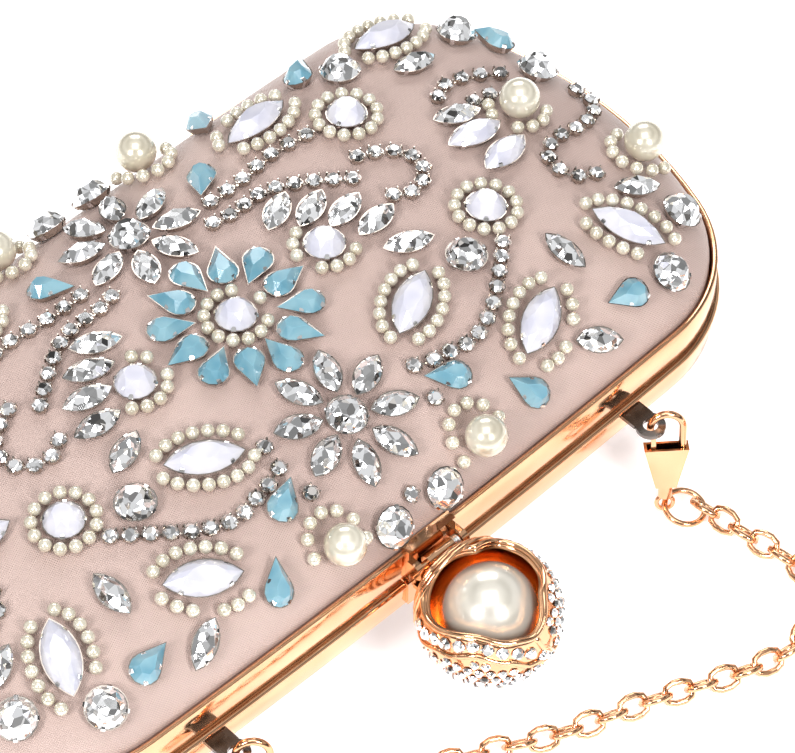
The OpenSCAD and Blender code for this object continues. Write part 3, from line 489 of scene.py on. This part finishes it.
def weave_group():
    """Fine over-and-under of thread, with slubs, as a height and as painted light and shade that follow the
    height: raised threads lighter, the hollows between them darker.
    """
    group, given, result = node_group("weave", [("Vector", "Vector", None), ("Pitch", "Float", 0.0005)],
                                      [("Height", "Float"), ("Painted Light", "Float")])
    place = node(group, "SeparateXYZ", Vector=given["Vector"])
    wobble = node(group, "TexNoise", Vector=given["Vector"], Scale=120.0, Detail=2.0)
    waves = []
    for axis, other in (("X", "Y"), ("Y", "X")):
        slope = node(group, "Math", {"operation": "MULTIPLY_ADD"}, i0=place.outputs["Z"], i1=0.6,
                     i2=place.outputs[axis])
        lean = node(group, "Math", {"operation": "MULTIPLY_ADD"}, i0=place.outputs[other],
                    i1=0.45 if axis == "X" else -0.45, i2=slope.outputs["Value"])
        shift = node(group, "Math", {"operation": "MULTIPLY_ADD"}, i0=wobble.outputs["Fac"], i1=0.0012,
                     i2=lean.outputs["Value"])
        turns = node(group, "Math", {"operation": "DIVIDE"}, i0=shift.outputs["Value"], i1=given["Pitch"])
        angle = node(group, "Math", {"operation": "MULTIPLY"}, i0=turns.outputs["Value"], i1=2 * math.pi)
        waves.append(node(group, "Math", {"operation": "SINE"}, i0=angle.outputs["Value"]).outputs["Value"])
    both = node(group, "Math", {"operation": "MULTIPLY"}, i0=waves[0], i1=waves[1])
    ribs = node(group, "Math", {"operation": "MULTIPLY_ADD"}, i0=waves[0], i1=0.5, i2=both.outputs["Value"])
    # Painted light and shade: the rib height turned into a colour factor.
    shade = node(group, "MapRange", Value=ribs.outputs["Value"], **{"From Min": -1.5, "From Max": 1.5})
    group.links.new(ribs.outputs["Value"], result["Height"])
    group.links.new(shade.outputs["Result"], result["Painted Light"])
    return group


weave = weave_group()


def cloth(name, low, high, pitch, settings, strength):
    """A woven cloth of two close shades, with painted light and shade on its threads."""
    material, tree, shader = new_material(name, settings)
    position = node(tree, "TexCoord").outputs["Object"]
    drift = tinted(tree, position, low, high, 28.0, 3.0)
    threads = node(tree, "Group", {"node_tree": weave}, Vector=position, Pitch=pitch)
    # Painted light and shade of the threads: the colour is lightened on raised threads and darkened in the
    # hollows between them.
    painted_thread_light = node(tree, "MapRange", Value=threads.outputs["Painted Light"], **{"To Min": 0.74, "To Max": 1.18})
    mix = node(tree, "VectorMath", {"operation": "SCALE"}, i0=drift)
    tree.links.new(painted_thread_light.outputs["Result"], mix.inputs["Scale"])
    tree.links.new(mix.outputs["Vector"], shader.inputs["Base Color"])
    puckers = node(tree, "TexNoise", Vector=position, Scale=48.0, Detail=4.0)
    soft = node(tree, "Bump", Height=puckers.outputs["Fac"], Strength=0.7, Distance=0.0014)
    bump = node(tree, "Bump", Height=threads.outputs["Height"], Strength=strength, Distance=0.00006,
                Normal=soft.outputs["Normal"])
    tree.links.new(bump.outputs["Normal"], shader.inputs["Normal"])
    return material


satin = cloth("blush_satin", (0.51, 0.375, 0.335), (0.58, 0.435, 0.39), 0.00052,
              {"Roughness": 0.42, "Sheen Weight": 0.2, "Sheen Roughness": 0.4, "Specular IOR Level": 0.45}, 0.8)
lining_cloth = cloth("lining_cloth", (0.50, 0.40, 0.35), (0.55, 0.44, 0.39), 0.0007,
                     {"Roughness": 0.75, "Sheen Weight": 0.15}, 0.4)
halves = {"front": (1, "front_half", front_band_h, front_rise, 1.0, 0.0),
          "back": (-1, "back_half", back_band_h, back_rise, back_rise, flat_lift)}
covers = {}
for side, (direction, body, start, rise, cap, lift) in halves.items():
    for what, inset, thickness, material in (("satin", satin_in, satin_t, satin),
                                             ("lining", lining_in, lining_t, lining_cloth)):
        drop = inset - satin_in
        skin = dome_skin(inset, direction, start, rise + lift - drop, cap - drop)
        cover = piece(f"{side}_{what}_cover", skin, body, [material])
        thicken(cover, thickness)
        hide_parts(f"{side}_{what}")
        covers[side, what] = cover
board, tree, shader = new_material("shell_board", {"Roughness": 0.85})
position = node(tree, "TexCoord").outputs["Object"]
tree.links.new(tinted(tree, position, (0.42, 0.33, 0.22), (0.5, 0.4, 0.28), 400.0), shader.inputs["Base Color"])

# ---- Jewels ----
# Foiled glass stones in claw settings and resin pearls, sewn one by one to the satin.
# Each stands square on the dome where its plain piece in the frame stands.
satin_mesh = covers["front", "satin"].data
satin_tree = BVHTree.FromPolygons([v.co for v in satin_mesh.vertices],
                                  [p.vertices for p in satin_mesh.polygons])
foot = 0.35 * mm


def islands(name):
    """The separate solids of a node, each as a list of its corners."""
    bm = bmesh.new()
    bm.from_mesh(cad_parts[name].data)
    bmesh.ops.remove_doubles(bm, verts=bm.verts, dist=1e-7)
    left, made = set(bm.verts), []
    for start in bm.verts:
        if start not in left:
            continue
        left.discard(start)
        group, heap = [], [start]
        while heap:
            v = heap.pop()
            group.append(v.co.copy())
            for e in v.link_edges:
                w = e.other_vert(v)
                if w in left:
                    left.discard(w)
                    heap.append(w)
        made.append(group)
    bm.free()
    return made


def seat(corners, pointed=False):
    """Where a jewel sits: its place on the satin, and its length along its long way."""
    middle = sum(corners, Vector()) / len(corners)
    on = satin_tree.find_nearest(middle)[0]
    up = (middle - on).normalized()
    far = max(corners, key=lambda c: ((c - middle) - up * (c - middle).dot(up)).length)
    x = ((far - middle) - up * (far - middle).dot(up)).normalized()
    y = up.cross(x)
    reach = [(c - middle).dot(x) for c in corners]
    width = [(c - middle).dot(y) for c in corners]
    long, wide = max(reach) - min(reach), max(width) - min(width)
    centre = middle + x * (max(reach) + min(reach)) / 2
    if pointed:
        centre = middle + x * (max(reach) - (long - wide / 2))
    base = centre - up * (centre - on).dot(up) + up * foot
    turn = Matrix((x, y, up)).transposed().to_4x4()
    return Matrix.Translation(base) @ turn, long, wide


def navette_ring(long, wide, height, steps, offset=0.0):
    """Points round a pointed oval."""
    radius = (long ** 2 + wide ** 2) / (4 * wide)
    half = math.asin(long / 2 / radius)
    made = []
    for side in (1, -1):
        for i in range(-steps, steps):
            a = half * (i + offset) / steps
            made.append(Vector((side * radius * math.sin(a), side * (radius * math.cos(a) - radius + wide / 2),
                                height)))
    return made


def round_ring(long, wide, height, steps, offset=0.0):
    """Points round a circle."""
    return [Vector((long / 2 * math.cos(a), wide / 2 * math.sin(a), height))
            for a in (2 * math.pi * (i + offset) / steps for i in range(steps))]


PEAR_START, PEAR_SWEEP = 62, 236  # degrees: where the drop's round end starts, and its extent


def pear_ring(long, wide, height, steps, offset=0.0):
    """Points round a drop whose round end is about the origin and whose tip is on +X."""
    angles = [math.radians(PEAR_START + PEAR_SWEEP * (i + offset) / steps)
              for i in range(steps if offset else steps + 1)]
    around = [Vector((wide / 2 * math.cos(a), wide / 2 * math.sin(a), height)) for a in angles]
    tip = Vector(((long - wide / 2) * (0.8 if offset else 1), 0, height))
    return around + [tip] if offset else [tip] + around


def gem(ring, long, wide, cuts, seat_h, depth):
    """A faceted stone as one closed hull. cuts is how finely each level is cut: its girdle, the
    crown's break, its table, and the foiled back's two levels."""
    bm = bmesh.new()
    height = 0.38 * wide
    levels = [(1.0, 0, 0, cuts[0]), (1.0, -0.06 * height, 0, cuts[0]), (0.8, 0.5 * height, 0.5, cuts[1]),
              (0.5, 0.9 * height, 0, cuts[2]), (0.62, -0.62 * depth, 0.5, cuts[3]), (0.1, -depth, 0, cuts[4])]
    for share, rise, offset, count in levels:
        if count:
            for p in ring(long * share, wide * share, seat_h + rise, count, offset):
                bm.verts.new(p)
    bmesh.ops.convex_hull(bm, input=bm.verts)
    bmesh.ops.delete(bm, geom=[v for v in bm.verts if not v.link_faces], context="VERTS")
    bmesh.ops.dissolve_limit(bm, angle_limit=math.radians(1.5), verts=bm.verts, edges=bm.edges)
    bmesh.ops.recalc_face_normals(bm, faces=bm.faces)
    for face in bm.faces:
        face.material_index = 1 if face.normal.z < -0.05 else 0
    return bm


claw_w, claw_t = 0.95 * mm, 0.28 * mm


def claw(height, over):
    """A small bent tab, standing on +X and folded back over the stone."""
    bm = bmesh.new()
    bm.edges.new([bm.verts.new((-0.75 * mm, y, 0.1 * mm)) for y in (-claw_w / 2, claw_w / 2)])
    last = bm.edges[:]
    for move in ((0.85 * mm, 0, height * 0.75), (0.02 * mm, 0, height * 0.3), (-over * 0.45, 0, over * 0.5),
                 (-over * 0.55, 0, over * 0.12)):
        grown = bmesh.ops.extrude_edge_only(bm, edges=last)["geom"]
        bmesh.ops.translate(bm, verts=[v for v in grown if isinstance(v, bmesh.types.BMVert)], vec=move)
        last = [e for e in grown if isinstance(e, bmesh.types.BMEdge)]
    bmesh.ops.scale(bm, verts=list({v for e in last for v in e.verts}), vec=(1, 0.6, 1))
    bmesh.ops.recalc_face_normals(bm, faces=bm.faces)
    bmesh.ops.solidify(bm, geom=bm.faces[:], thickness=claw_t)
    for face in bm.faces:
        face.material_index = 1
    return bm


def setting(ring, long, wide, steps, height, spots):
    """A stamped cup that follows the stone's outline, with claws at the given points round it."""
    bm = bmesh.new()
    outline = [bm.verts.new(p) for p in ring(long, wide, height, steps)]
    flat = bm.faces.new(outline)
    down = bmesh.ops.extrude_face_region(bm, geom=[flat])["geom"]
    low = [v for v in down if isinstance(v, bmesh.types.BMVert)]
    bmesh.ops.translate(bm, verts=low, vec=(0, 0, -height))
    bmesh.ops.scale(bm, verts=low, vec=(0.72, 0.72, 1))
    bmesh.ops.recalc_face_normals(bm, faces=bm.faces)
    shape = template("claw_shape", claw(height, 0.9 * mm))
    for x, y in spots:
        a = math.atan2(y * (long / wide) ** 2, x) if (x or y) else 0
        stamp(bm, shape, Matrix.Translation((x, y, 0)) @ Matrix.Rotation(a, 4, "Z"))
    return bm


seat_h = 1.65 * mm


def cut_group():
    """Small mirror-like cuts: a normal tipped a different way in each cell, and a painted-light value for each
    cell, from dark to bright.
    """
    group, given, result = node_group("cuts_and_painted_light", [("Vector", "Vector", None), ("Scale", "Float", 700.0),
                                                     ("Amount", "Float", 0.3)],
                                      [("Normal", "Vector"), ("Painted Light", "Float")])
    cells = node(group, "TexVoronoi", Vector=given["Vector"], Scale=given["Scale"])
    colour = cells.outputs["Color"]
    centred = node(group, "VectorMath", {"operation": "SUBTRACT"}, i0=colour, i1=(0.5, 0.5, 0.5))
    tip = node(group, "VectorMath", {"operation": "SCALE"}, i0=centred.outputs["Vector"])
    group.links.new(given["Amount"], tip.inputs["Scale"])
    added = node(group, "VectorMath", {"operation": "ADD"}, i0=tip.outputs["Vector"],
                 i1=node(group, "NewGeometry").outputs["Normal"])
    unit = node(group, "VectorMath", {"operation": "NORMALIZE"}, i0=added.outputs["Vector"])
    shade = node(group, "SeparateXYZ", Vector=colour)
    group.links.new(unit.outputs["Vector"], result["Normal"])
    group.links.new(shade.outputs["X"], result["Painted Light"])
    return group


cuts_and_painted_light = cut_group()
# Crystal: mirror metal under a clear coat, with painted light on it. Each cell is painted as a dark or a bright
# facet reflection, and the bright cells glow a little on their own (painted glow).
crystal, tree, shader = new_material("crystal", {"Metallic": 1.0, "Roughness": 0.03, "Coat Weight": 1.0,
                                                 "Coat Roughness": 0.01, "Emission Strength": 0.2})
position = node(tree, "TexCoord").outputs["Object"]
cuts = node(tree, "Group", {"node_tree": cuts_and_painted_light}, Vector=position, Scale=620.0, Amount=0.55)
tree.links.new(cuts.outputs["Normal"], shader.inputs["Normal"])
shade = cuts.outputs["Painted Light"]
# Painted glow: the lit cells give off light of their own, though they are no lamp.
painted_glow = ramp(tree, shade, [(0.12, (0.1, 0.1, 0.1)), (0.3, (1, 1, 1))])
tree.links.new(painted_glow, shader.inputs["Emission Color"])
# Painted facet reflections: some cells dark grey, the rest near white.
mirror = ramp(tree, shade, [(0.1, (0.22, 0.21, 0.2)), (0.32, (0.97, 0.98, 1))])
tree.links.new(mirror, shader.inputs["Base Color"])
foil = polished("foil", (0.80, 0.80, 0.82), (0.92, 0.92, 0.93), 0.05, 0.05)
silver = polished("setting_metal", (0.38, 0.33, 0.29), (0.52, 0.47, 0.42), 0.2, 0.2)
claw_metal = polished("claw_metal", (0.74, 0.73, 0.72), (0.86, 0.85, 0.85), 0.12, 0.1)


milky_roughness = 0.12


def milky(name, low, high):
    """Cloudy glass of two close shades, bright inside."""
    material, tree, shader = new_material(name, {"Subsurface Weight": 0.35, "Subsurface Scale": 0.002,
                                                 "Subsurface Radius": (1.0, 1.0, 1.0), "IOR": 1.55,
                                                 "Coat Weight": 0.7, "Coat Roughness": 0.04})
    position = node(tree, "TexCoord").outputs["Object"]
    tree.links.new(tinted(tree, position, low, high, 210.0, 1.0), shader.inputs["Base Color"])
    swirl = node(tree, "TexNoise", Vector=position, Scale=500.0)
    rough = node(tree, "MapRange", Value=swirl.outputs["Fac"],
                 **{"To Min": milky_roughness * 0.7, "To Max": milky_roughness * 1.3})
    tree.links.new(rough.outputs["Result"], shader.inputs["Roughness"])
    return material


opal = milky("opal_glass", (0.56, 0.56, 0.65), (0.68, 0.67, 0.73))
blue = milky("blue_glass", (0.13, 0.31, 0.40), (0.24, 0.42, 0.49))


def jewels(kind, ring, steps, cuts, spots, materials, pointed=False):
    """All stones of one kind, and their settings, where the frame's pieces are."""
    settings, stones = bmesh.new(), bmesh.new()
    shapes = {}
    for corners in islands(kind + "_settings"):
        place, long, wide = seat(corners, pointed)
        size = round(long * 10000)
        if size not in shapes:
            places = [(x * long / 2, y * wide / 2) for x, y in spots]
            shapes[size] = (
                template(kind + "_cup", setting(ring, long, wide, steps * 2, seat_h, places)),
                template(kind + "_gem", gem(ring, long - 0.5 * mm, wide - 0.4 * mm, cuts, seat_h, 1.3 * mm)))
        stamp(settings, shapes[size][0], place)
        stamp(stones, shapes[size][1], place)
    cups = piece(kind + "_cups", settings, "front_half", [silver, claw_metal],
                 smooth=False)
    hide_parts(kind + "_settings")
    gems = piece(kind + "_gems", stones, "front_half", materials, smooth=False)
    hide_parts(kind + "_stones")


FOUR_ROUND = [(math.cos(a), math.sin(a)) for a in (math.pi / 4 + k * math.pi / 2 for k in range(4))]
FOUR_LONG = [(0.62 * i, 0.62 * j) for i in (-1, 1) for j in (-1, 1)]
FOUR_PEAR = [(-0.45, 0.62), (-0.45, -0.62), (0.42, 0.66), (0.42, -0.66)]
jewels("clear_round", round_ring, 8, (16, 8, 8, 8, 4), FOUR_ROUND, [crystal, foil])
jewels("clear_navette", navette_ring, 3, (3, 0, 1, 1, 1), FOUR_LONG, [crystal, foil])
jewels("opal_round", round_ring, 8, (16, 8, 8, 8, 4), FOUR_ROUND, [opal, foil])
jewels("opal_navette", navette_ring, 4, (4, 2, 2, 2, 1), FOUR_LONG, [opal, foil])
jewels("blue_drop", pear_ring, 6, (8, 0, 4, 4, 4), FOUR_PEAR, [blue, foil], pointed=True)


def pearl_coat(name, low, high):
    """Resin pearl: ivory body under a soft lacquer; the lacquer's slight rainbow is not drawn."""
    material, tree, shader = new_material(name, {"Roughness": 0.24, "Metallic": 0.4, "Coat Weight": 1.0,
                                                 "Coat Roughness": 0.05, "Coat IOR": 1.65})
    position = node(tree, "TexCoord").outputs["Object"]
    tree.links.new(tinted(tree, position, low, high, 150.0, 1.0), shader.inputs["Base Color"])
    fine = node(tree, "TexNoise", Vector=position, Scale=2500.0)
    bump = node(tree, "Bump", Height=fine.outputs["Fac"], Strength=0.05, Distance=0.00005)
    tree.links.new(bump.outputs["Normal"], shader.inputs["Normal"])
    return material


ivory = pearl_coat("ivory_pearl", (0.66, 0.60, 0.47), (0.80, 0.75, 0.62))


def beads(name, source, make):
    """Pearls where the frame's balls are, each as large as its own."""
    bm = bmesh.new()
    for corners in islands(source):
        middle = sum(corners, Vector()) / len(corners)
        radius = max((c - middle).length for c in corners)
        shape = template(name + "_shape", make(radius), smooth=True)
        stamp(bm, shape, Matrix.Translation(middle))
        bpy.data.meshes.remove(shape)
    made = piece(name, bm, "front_half", [ivory])
    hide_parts(source)


def seed_bead(radius):
    bm = bmesh.new()
    bmesh.ops.create_icosphere(bm, subdivisions=2, radius=radius)
    return bm


def fine_bead(radius):
    bm = bmesh.new()
    bmesh.ops.create_uvsphere(bm, u_segments=32, v_segments=18, radius=radius)
    return bm


beads("sewn_pearls", "large_pearls", fine_bead)
beads("seed_pearls", "small_pearls", seed_bead)

# ---- Cup chain ----
# Rows of small round stones in square four-claw cups, joined by short bars and sewn
# down along curves.
cup_r, cup_h = 1.85 * mm, 1.25 * mm
cup_step = 4.6 * mm


def cup_shape():
    """A square cup with a claw at each corner."""
    bm = bmesh.new()
    bmesh.ops.create_cone(bm, cap_ends=True, segments=8, radius1=cup_r * 0.8, radius2=cup_r, depth=cup_h)
    bmesh.ops.translate(bm, verts=bm.verts, vec=(0, 0, cup_h / 2))
    for k in range(4):
        a = math.pi / 4 + k * math.pi / 2
        nub = bmesh.ops.create_cone(bm, cap_ends=True, segments=5, radius1=0.36 * mm, radius2=0.2 * mm,
                                    depth=1.0 * mm)["verts"]
        bmesh.ops.translate(bm, verts=nub, vec=(cup_r * 0.92 * math.cos(a), cup_r * 0.92 * math.sin(a),
                                                cup_h + 0.3 * mm))
    return bm


def small_gem(radius, height):
    """A small brilliant: table, eight crown facets and a foiled back."""
    bm = bmesh.new()
    for share, z, offset in ((1.0, 0.0, 0.0), (0.58, height, 0.5), (0.1, -height, 0.0)):
        for p in round_ring(2 * radius * share, 2 * radius * share, z, 8, offset):
            bm.verts.new(p)
    bmesh.ops.convex_hull(bm, input=bm.verts)
    bmesh.ops.dissolve_limit(bm, angle_limit=math.radians(1.5), verts=bm.verts, edges=bm.edges)
    bmesh.ops.recalc_face_normals(bm, faces=bm.faces)
    for face in bm.faces:
        face.material_index = 1 if face.normal.z < -0.05 else 0
    return bm


cup_places = [seat(corners)[0] for corners in islands("cup_chain_cups")]
cup_template = template("cup_shape", cup_shape())
gem_template = template("cup_gem", small_gem(cup_r * 0.9, 0.75 * mm))
cups, gems = bmesh.new(), bmesh.new()
for i, place in enumerate(cup_places):
    turn = random.uniform(-0.3, 0.3)
    here = place.translation
    near = sorted(range(len(cup_places)), key=lambda k: (cup_places[k].translation - here).length)
    flat = place.to_3x3().inverted() @ (cup_places[near[1]].translation - here)
    spun = place @ Matrix.Rotation(math.atan2(flat.y, flat.x), 4, "Z")
    stamp(cups, cup_template, spun)
    stamp(gems, gem_template,
          spun @ Matrix.Translation((0, 0, cup_h + 0.15 * mm)) @ Matrix.Rotation(turn, 4, "Z"))
    for k in near[1:3]:
        gap = cup_places[k].translation - here
        if k > i and gap.length < cup_step:
            bar = bmesh.ops.create_cone(cups, cap_ends=True, segments=5, radius1=0.28 * mm, radius2=0.28 * mm,
                                        depth=gap.length)["verts"]
            up = place.to_3x3() @ Vector((0, 0, 1))
            turned = gap.to_track_quat("Z", "Y").to_matrix().to_4x4()
            middle = here + gap / 2 + up * 0.5 * mm
            bmesh.ops.transform(cups, verts=bar, matrix=Matrix.Translation(middle) @ turned)
chain_cups = piece("cup_chain_metal", cups, "front_half", [silver], smooth=False)
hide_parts("cup_chain_cups")
chain_gems = piece("cup_chain_gems", gems, "front_half", [crystal, foil], smooth=False)
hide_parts("cup_chain_stones")

# ---- Bud clasp ----
# A cast bud of two petals that fold over a large pearl. The metal is plated rose
# gold; the outside is set with small stones and a channel row runs under the lip.
bud_r, bud_t, bud_pearl_r, pearl_up = 14.4 * mm, 1.4 * mm, 9.8 * mm, 1.2 * mm
bud_out, bud_lean = 17.6 * mm, math.radians(4)
bud_centre = Vector((0, -half_w - bud_out, seam_z + 0.5 * mm))
in_bud = Matrix.Translation(bud_centre) @ Matrix.Rotation(bud_lean, 4, "X")
collar_at = 90.0
# Lines on the bud as [longitude, latitude]: the mouth's edge, with a cleft over the collar and a
# corner where the petals meet; the rim under the channel row; and the overlapping petal's edge.
LIP = [(35, 38), (71, 52), (105, 26), (150, 18), (212, 36), (246, 31), (266, 28), (310, 46), (346, 42),
       (395, 38)]
LOW_RIM = [(135, -20), (152, -13), (183, 6), (214, 19), (240, 13), (260, 1), (287, -12)]
PETAL_EDGE = [(266, 28), (274, 10), (287, -8), (312, -14)]


def height_at(line, lon):
    """Latitude of a line at a longitude, eased between its points."""
    lon = lon % 360 + (360 if lon % 360 < line[0][0] and line[-1][0] > 360 else 0)
    lon = min(max(lon, line[0][0]), line[-1][0])
    for (a, low), (b, high) in zip(line, line[1:]):
        if lon <= b:
            part = (lon - a) / (b - a)
            return low + (high - low) * (3 - 2 * part) * part ** 2
    return line[-1][1]


def from_collar(lon, lat):
    """Angle from the collar's line to a spot on the bud, in degrees."""
    a, b = math.radians(lon - collar_at), math.radians(lat)
    return math.degrees(math.acos(max(-1, min(1, math.cos(a) * math.cos(b)))))


def on_bud(lon, lat, out=0.0):
    """A point on the bud's outside, in the bud's own frame."""
    a, b = math.radians(lon), math.radians(lat)
    return Vector((math.cos(a) * math.cos(b), math.sin(a) * math.cos(b), math.sin(b))) * (bud_r + out)


def bud_wall():
    """The petals: a ball opened at the lip, with a wall inside it."""
    bm = bmesh.new()
    around, up = 96, 22
    bottom = bm.verts.new((0, 0, -bud_r))
    bmesh.ops.spin(bm, geom=[bottom], cent=(0, 0, 0), axis=(0, -1, 0), angle=math.pi * 0.7, steps=up)
    bmesh.ops.spin(bm, geom=bm.edges[:], cent=(0, 0, 0), axis=(0, 0, 1), angle=2 * math.pi, steps=around,
                   use_merge=True)
    bmesh.ops.remove_doubles(bm, verts=bm.verts, dist=1e-6)
    top = -90 + 126
    for v in bm.verts:
        lat = math.degrees(math.asin(max(-1, min(1, v.co.z / bud_r))))
        lon = math.degrees(math.atan2(v.co.y, v.co.x))
        v.co = on_bud(lon, -90 + (lat + 90) * (height_at(LIP, lon) + 90) / (top + 90))
    bmesh.ops.recalc_face_normals(bm, faces=bm.faces)
    if bm.faces[0].normal.dot(bm.faces[0].calc_center_median()) < 0:
        bmesh.ops.reverse_faces(bm, faces=bm.faces)
    bmesh.ops.transform(bm, matrix=in_bud, verts=bm.verts)
    return bm


def wire_round(line, radius, sides, closed=True):
    """Round wire along a line of points."""
    bm = bmesh.new()
    count = len(line)
    rings = []
    for i, p in enumerate(line):
        before = line[(i - 1) % count] if closed or i else p
        after = line[(i + 1) % count] if closed or i < count - 1 else p
        turn = (after - before).to_track_quat("Z", "Y").to_matrix().to_4x4()
        rings.append(bmesh.ops.create_circle(bm, segments=sides, radius=radius,
                                             matrix=Matrix.Translation(p) @ turn)["verts"])
    pairs = list(zip(rings, rings[1:])) + ([(rings[-1], rings[0])] if closed else [])
    for a, b in pairs:
        loops = list({e for v in a for e in v.link_edges if all(w in a for w in e.verts)})
        loops += list({e for v in b for e in v.link_edges if all(w in b for w in e.verts)})
        bmesh.ops.bridge_loops(bm, edges=loops)
    if not closed:
        bmesh.ops.holes_fill(bm, edges=[e for e in bm.edges if e.is_boundary])
    bmesh.ops.recalc_face_normals(bm, faces=bm.faces)
    return bm


bud_gold = polished("bud_gold", (0.80, 0.40, 0.16), (0.90, 0.50, 0.24), 0.16)
bud = piece("bud_petals", bud_wall(), "bud_lever", [rose_gold, bud_gold])
thicken(bud, bud_t)
bud.modifiers["thickness"].material_offset = 1
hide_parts("clasp_cup")
rim_r = 0.62 * mm
rims = bmesh.new()
for shape, start, stop in ((LIP, 0, 360), (LOW_RIM, 143, 290), (PETAL_EDGE, 266, 314)):
    line = [in_bud @ on_bud(lon, height_at(shape, lon), 0.1 * mm) for lon in range(start, stop, 3)]
    wire = template("rim_wire", wire_round(line, rim_r, 10, closed=shape is LIP), smooth=True)
    rims.from_mesh(wire)
rim = piece("bud_rims", rims, "bud_lever", [rose_gold])
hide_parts("clasp_rims")


def bud_stones(name, spots, radius, replaced):
    """Small stones set square on the bud, each [longitude, latitude]."""
    bm = bmesh.new()
    shape = template(name + "_shape", small_gem(radius, radius * 0.55))
    for lon, lat in spots:
        p = on_bud(lon, lat, 0.2 * mm)
        stamp(bm, shape, in_bud @ Matrix.Translation(p) @ p.to_track_quat("Z", "Y").to_matrix().to_4x4())
    made = piece(name, bm, "bud_lever", [crystal, foil], smooth=False)
    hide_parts(replaced)


def channel_at(lon):
    """Middle of the channel: between the lip, or the overlapping petal's edge, and the rim below."""
    upper = height_at(LIP, lon) if lon < 266 else height_at(PETAL_EDGE, lon)
    return (upper + height_at(LOW_RIM, lon)) / 2


ROW_FROM, ROW_TO, row_pitch = 150.0, 284, 3.1 * mm
row, lon = [], ROW_FROM
while lon < ROW_TO:
    lat = channel_at(lon)
    row.append((lon, lat))
    rate = math.hypot(math.cos(math.radians(lat)), channel_at(lon + 1) - lat)
    lon += math.degrees(row_pitch / bud_r) / rate
bud_stones("bud_row_stones", row, 1.45 * mm, "clasp_row")
PAVE_ROWS, PAVE_LOW, PAVE_STEP, pave_pitch = 14, -84, 9.3, 2.3 * mm
pave = []
for k in range(PAVE_ROWS):
    lat = PAVE_LOW + k * PAVE_STEP
    count = max(1, round(2 * math.pi * bud_r * math.cos(math.radians(lat)) / pave_pitch))
    for i in range(count):
        lon = ((i + k % 2 / 2) * 360 / count) % 360
        edge = height_at(PETAL_EDGE, lon)
        under = height_at(LOW_RIM, lon) if 143 < lon < 287 else height_at(LIP, lon)
        if lat < under - 7 and from_collar(lon, lat) > 58 and not (287 <= lon < 316 and abs(lat - edge) < 6.5):
            pave.append((lon, lat))
bud_stones("bud_pave_stones", pave, 1.02 * mm, "clasp_pave")
big = fine_bead(bud_pearl_r)
bmesh.ops.subdivide_edges(big, edges=big.edges, cuts=1, use_grid_fill=True)
for v in big.verts:
    v.co = v.co.normalized() * bud_pearl_r
bmesh.ops.transform(big, matrix=in_bud @ Matrix.Translation((0, 0, pearl_up)), verts=big.verts)
white_pearl = pearl_coat("bud_pearl_lacquer", (0.70, 0.66, 0.57), (0.78, 0.74, 0.66))
bud_pearl = piece("bud_pearl", big, "bud_lever", [white_pearl])
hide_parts("clasp_pearl")

# ---- Small fittings ----
# Hinges, tabs, hooks, rings and the clasp's bracket keep their shapes from the frame
# and are plated like the bands. The tabs are darker polished steel.
tab_steel = polished("tab_steel", (0.19, 0.17, 0.16), (0.25, 0.22, 0.2), 0.22)
spring_steel = polished("spring_steel", (0.55, 0.55, 0.55), (0.65, 0.65, 0.65), 0.25)
FITTINGS = {
    "rose_gold": ["back_hinge_leaves", "hinge_pins", "catch_plate", "front_hinge_leaves", "clasp_bracket",
                  "clasp_pin", "clasp_lever", "clasp_stem"]
    + [f"{side}_{part}" for side in ("right", "left")
       for part in ("hook_wire", "hook_body", "gate", "gate_pin", "hook_eye", "jump_ring")],
    "tab_steel": ["right_tab", "left_tab"],
    "spring_steel": ["clasp_spring"],
    "shell_board": ["front_shell", "back_shell"],
}
finishes = {"rose_gold": rose_gold, "tab_steel": tab_steel, "spring_steel": spring_steel, "shell_board": board}
for finish, names in FITTINGS.items():
    for name in names:
        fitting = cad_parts[name]
        if not fitting.material_slots:
            fitting.data.materials.append(finishes[finish])
        for slot in fitting.material_slots:
            slot.material = finishes[finish]

bpy.context.scene.view_settings.view_transform = "Standard"
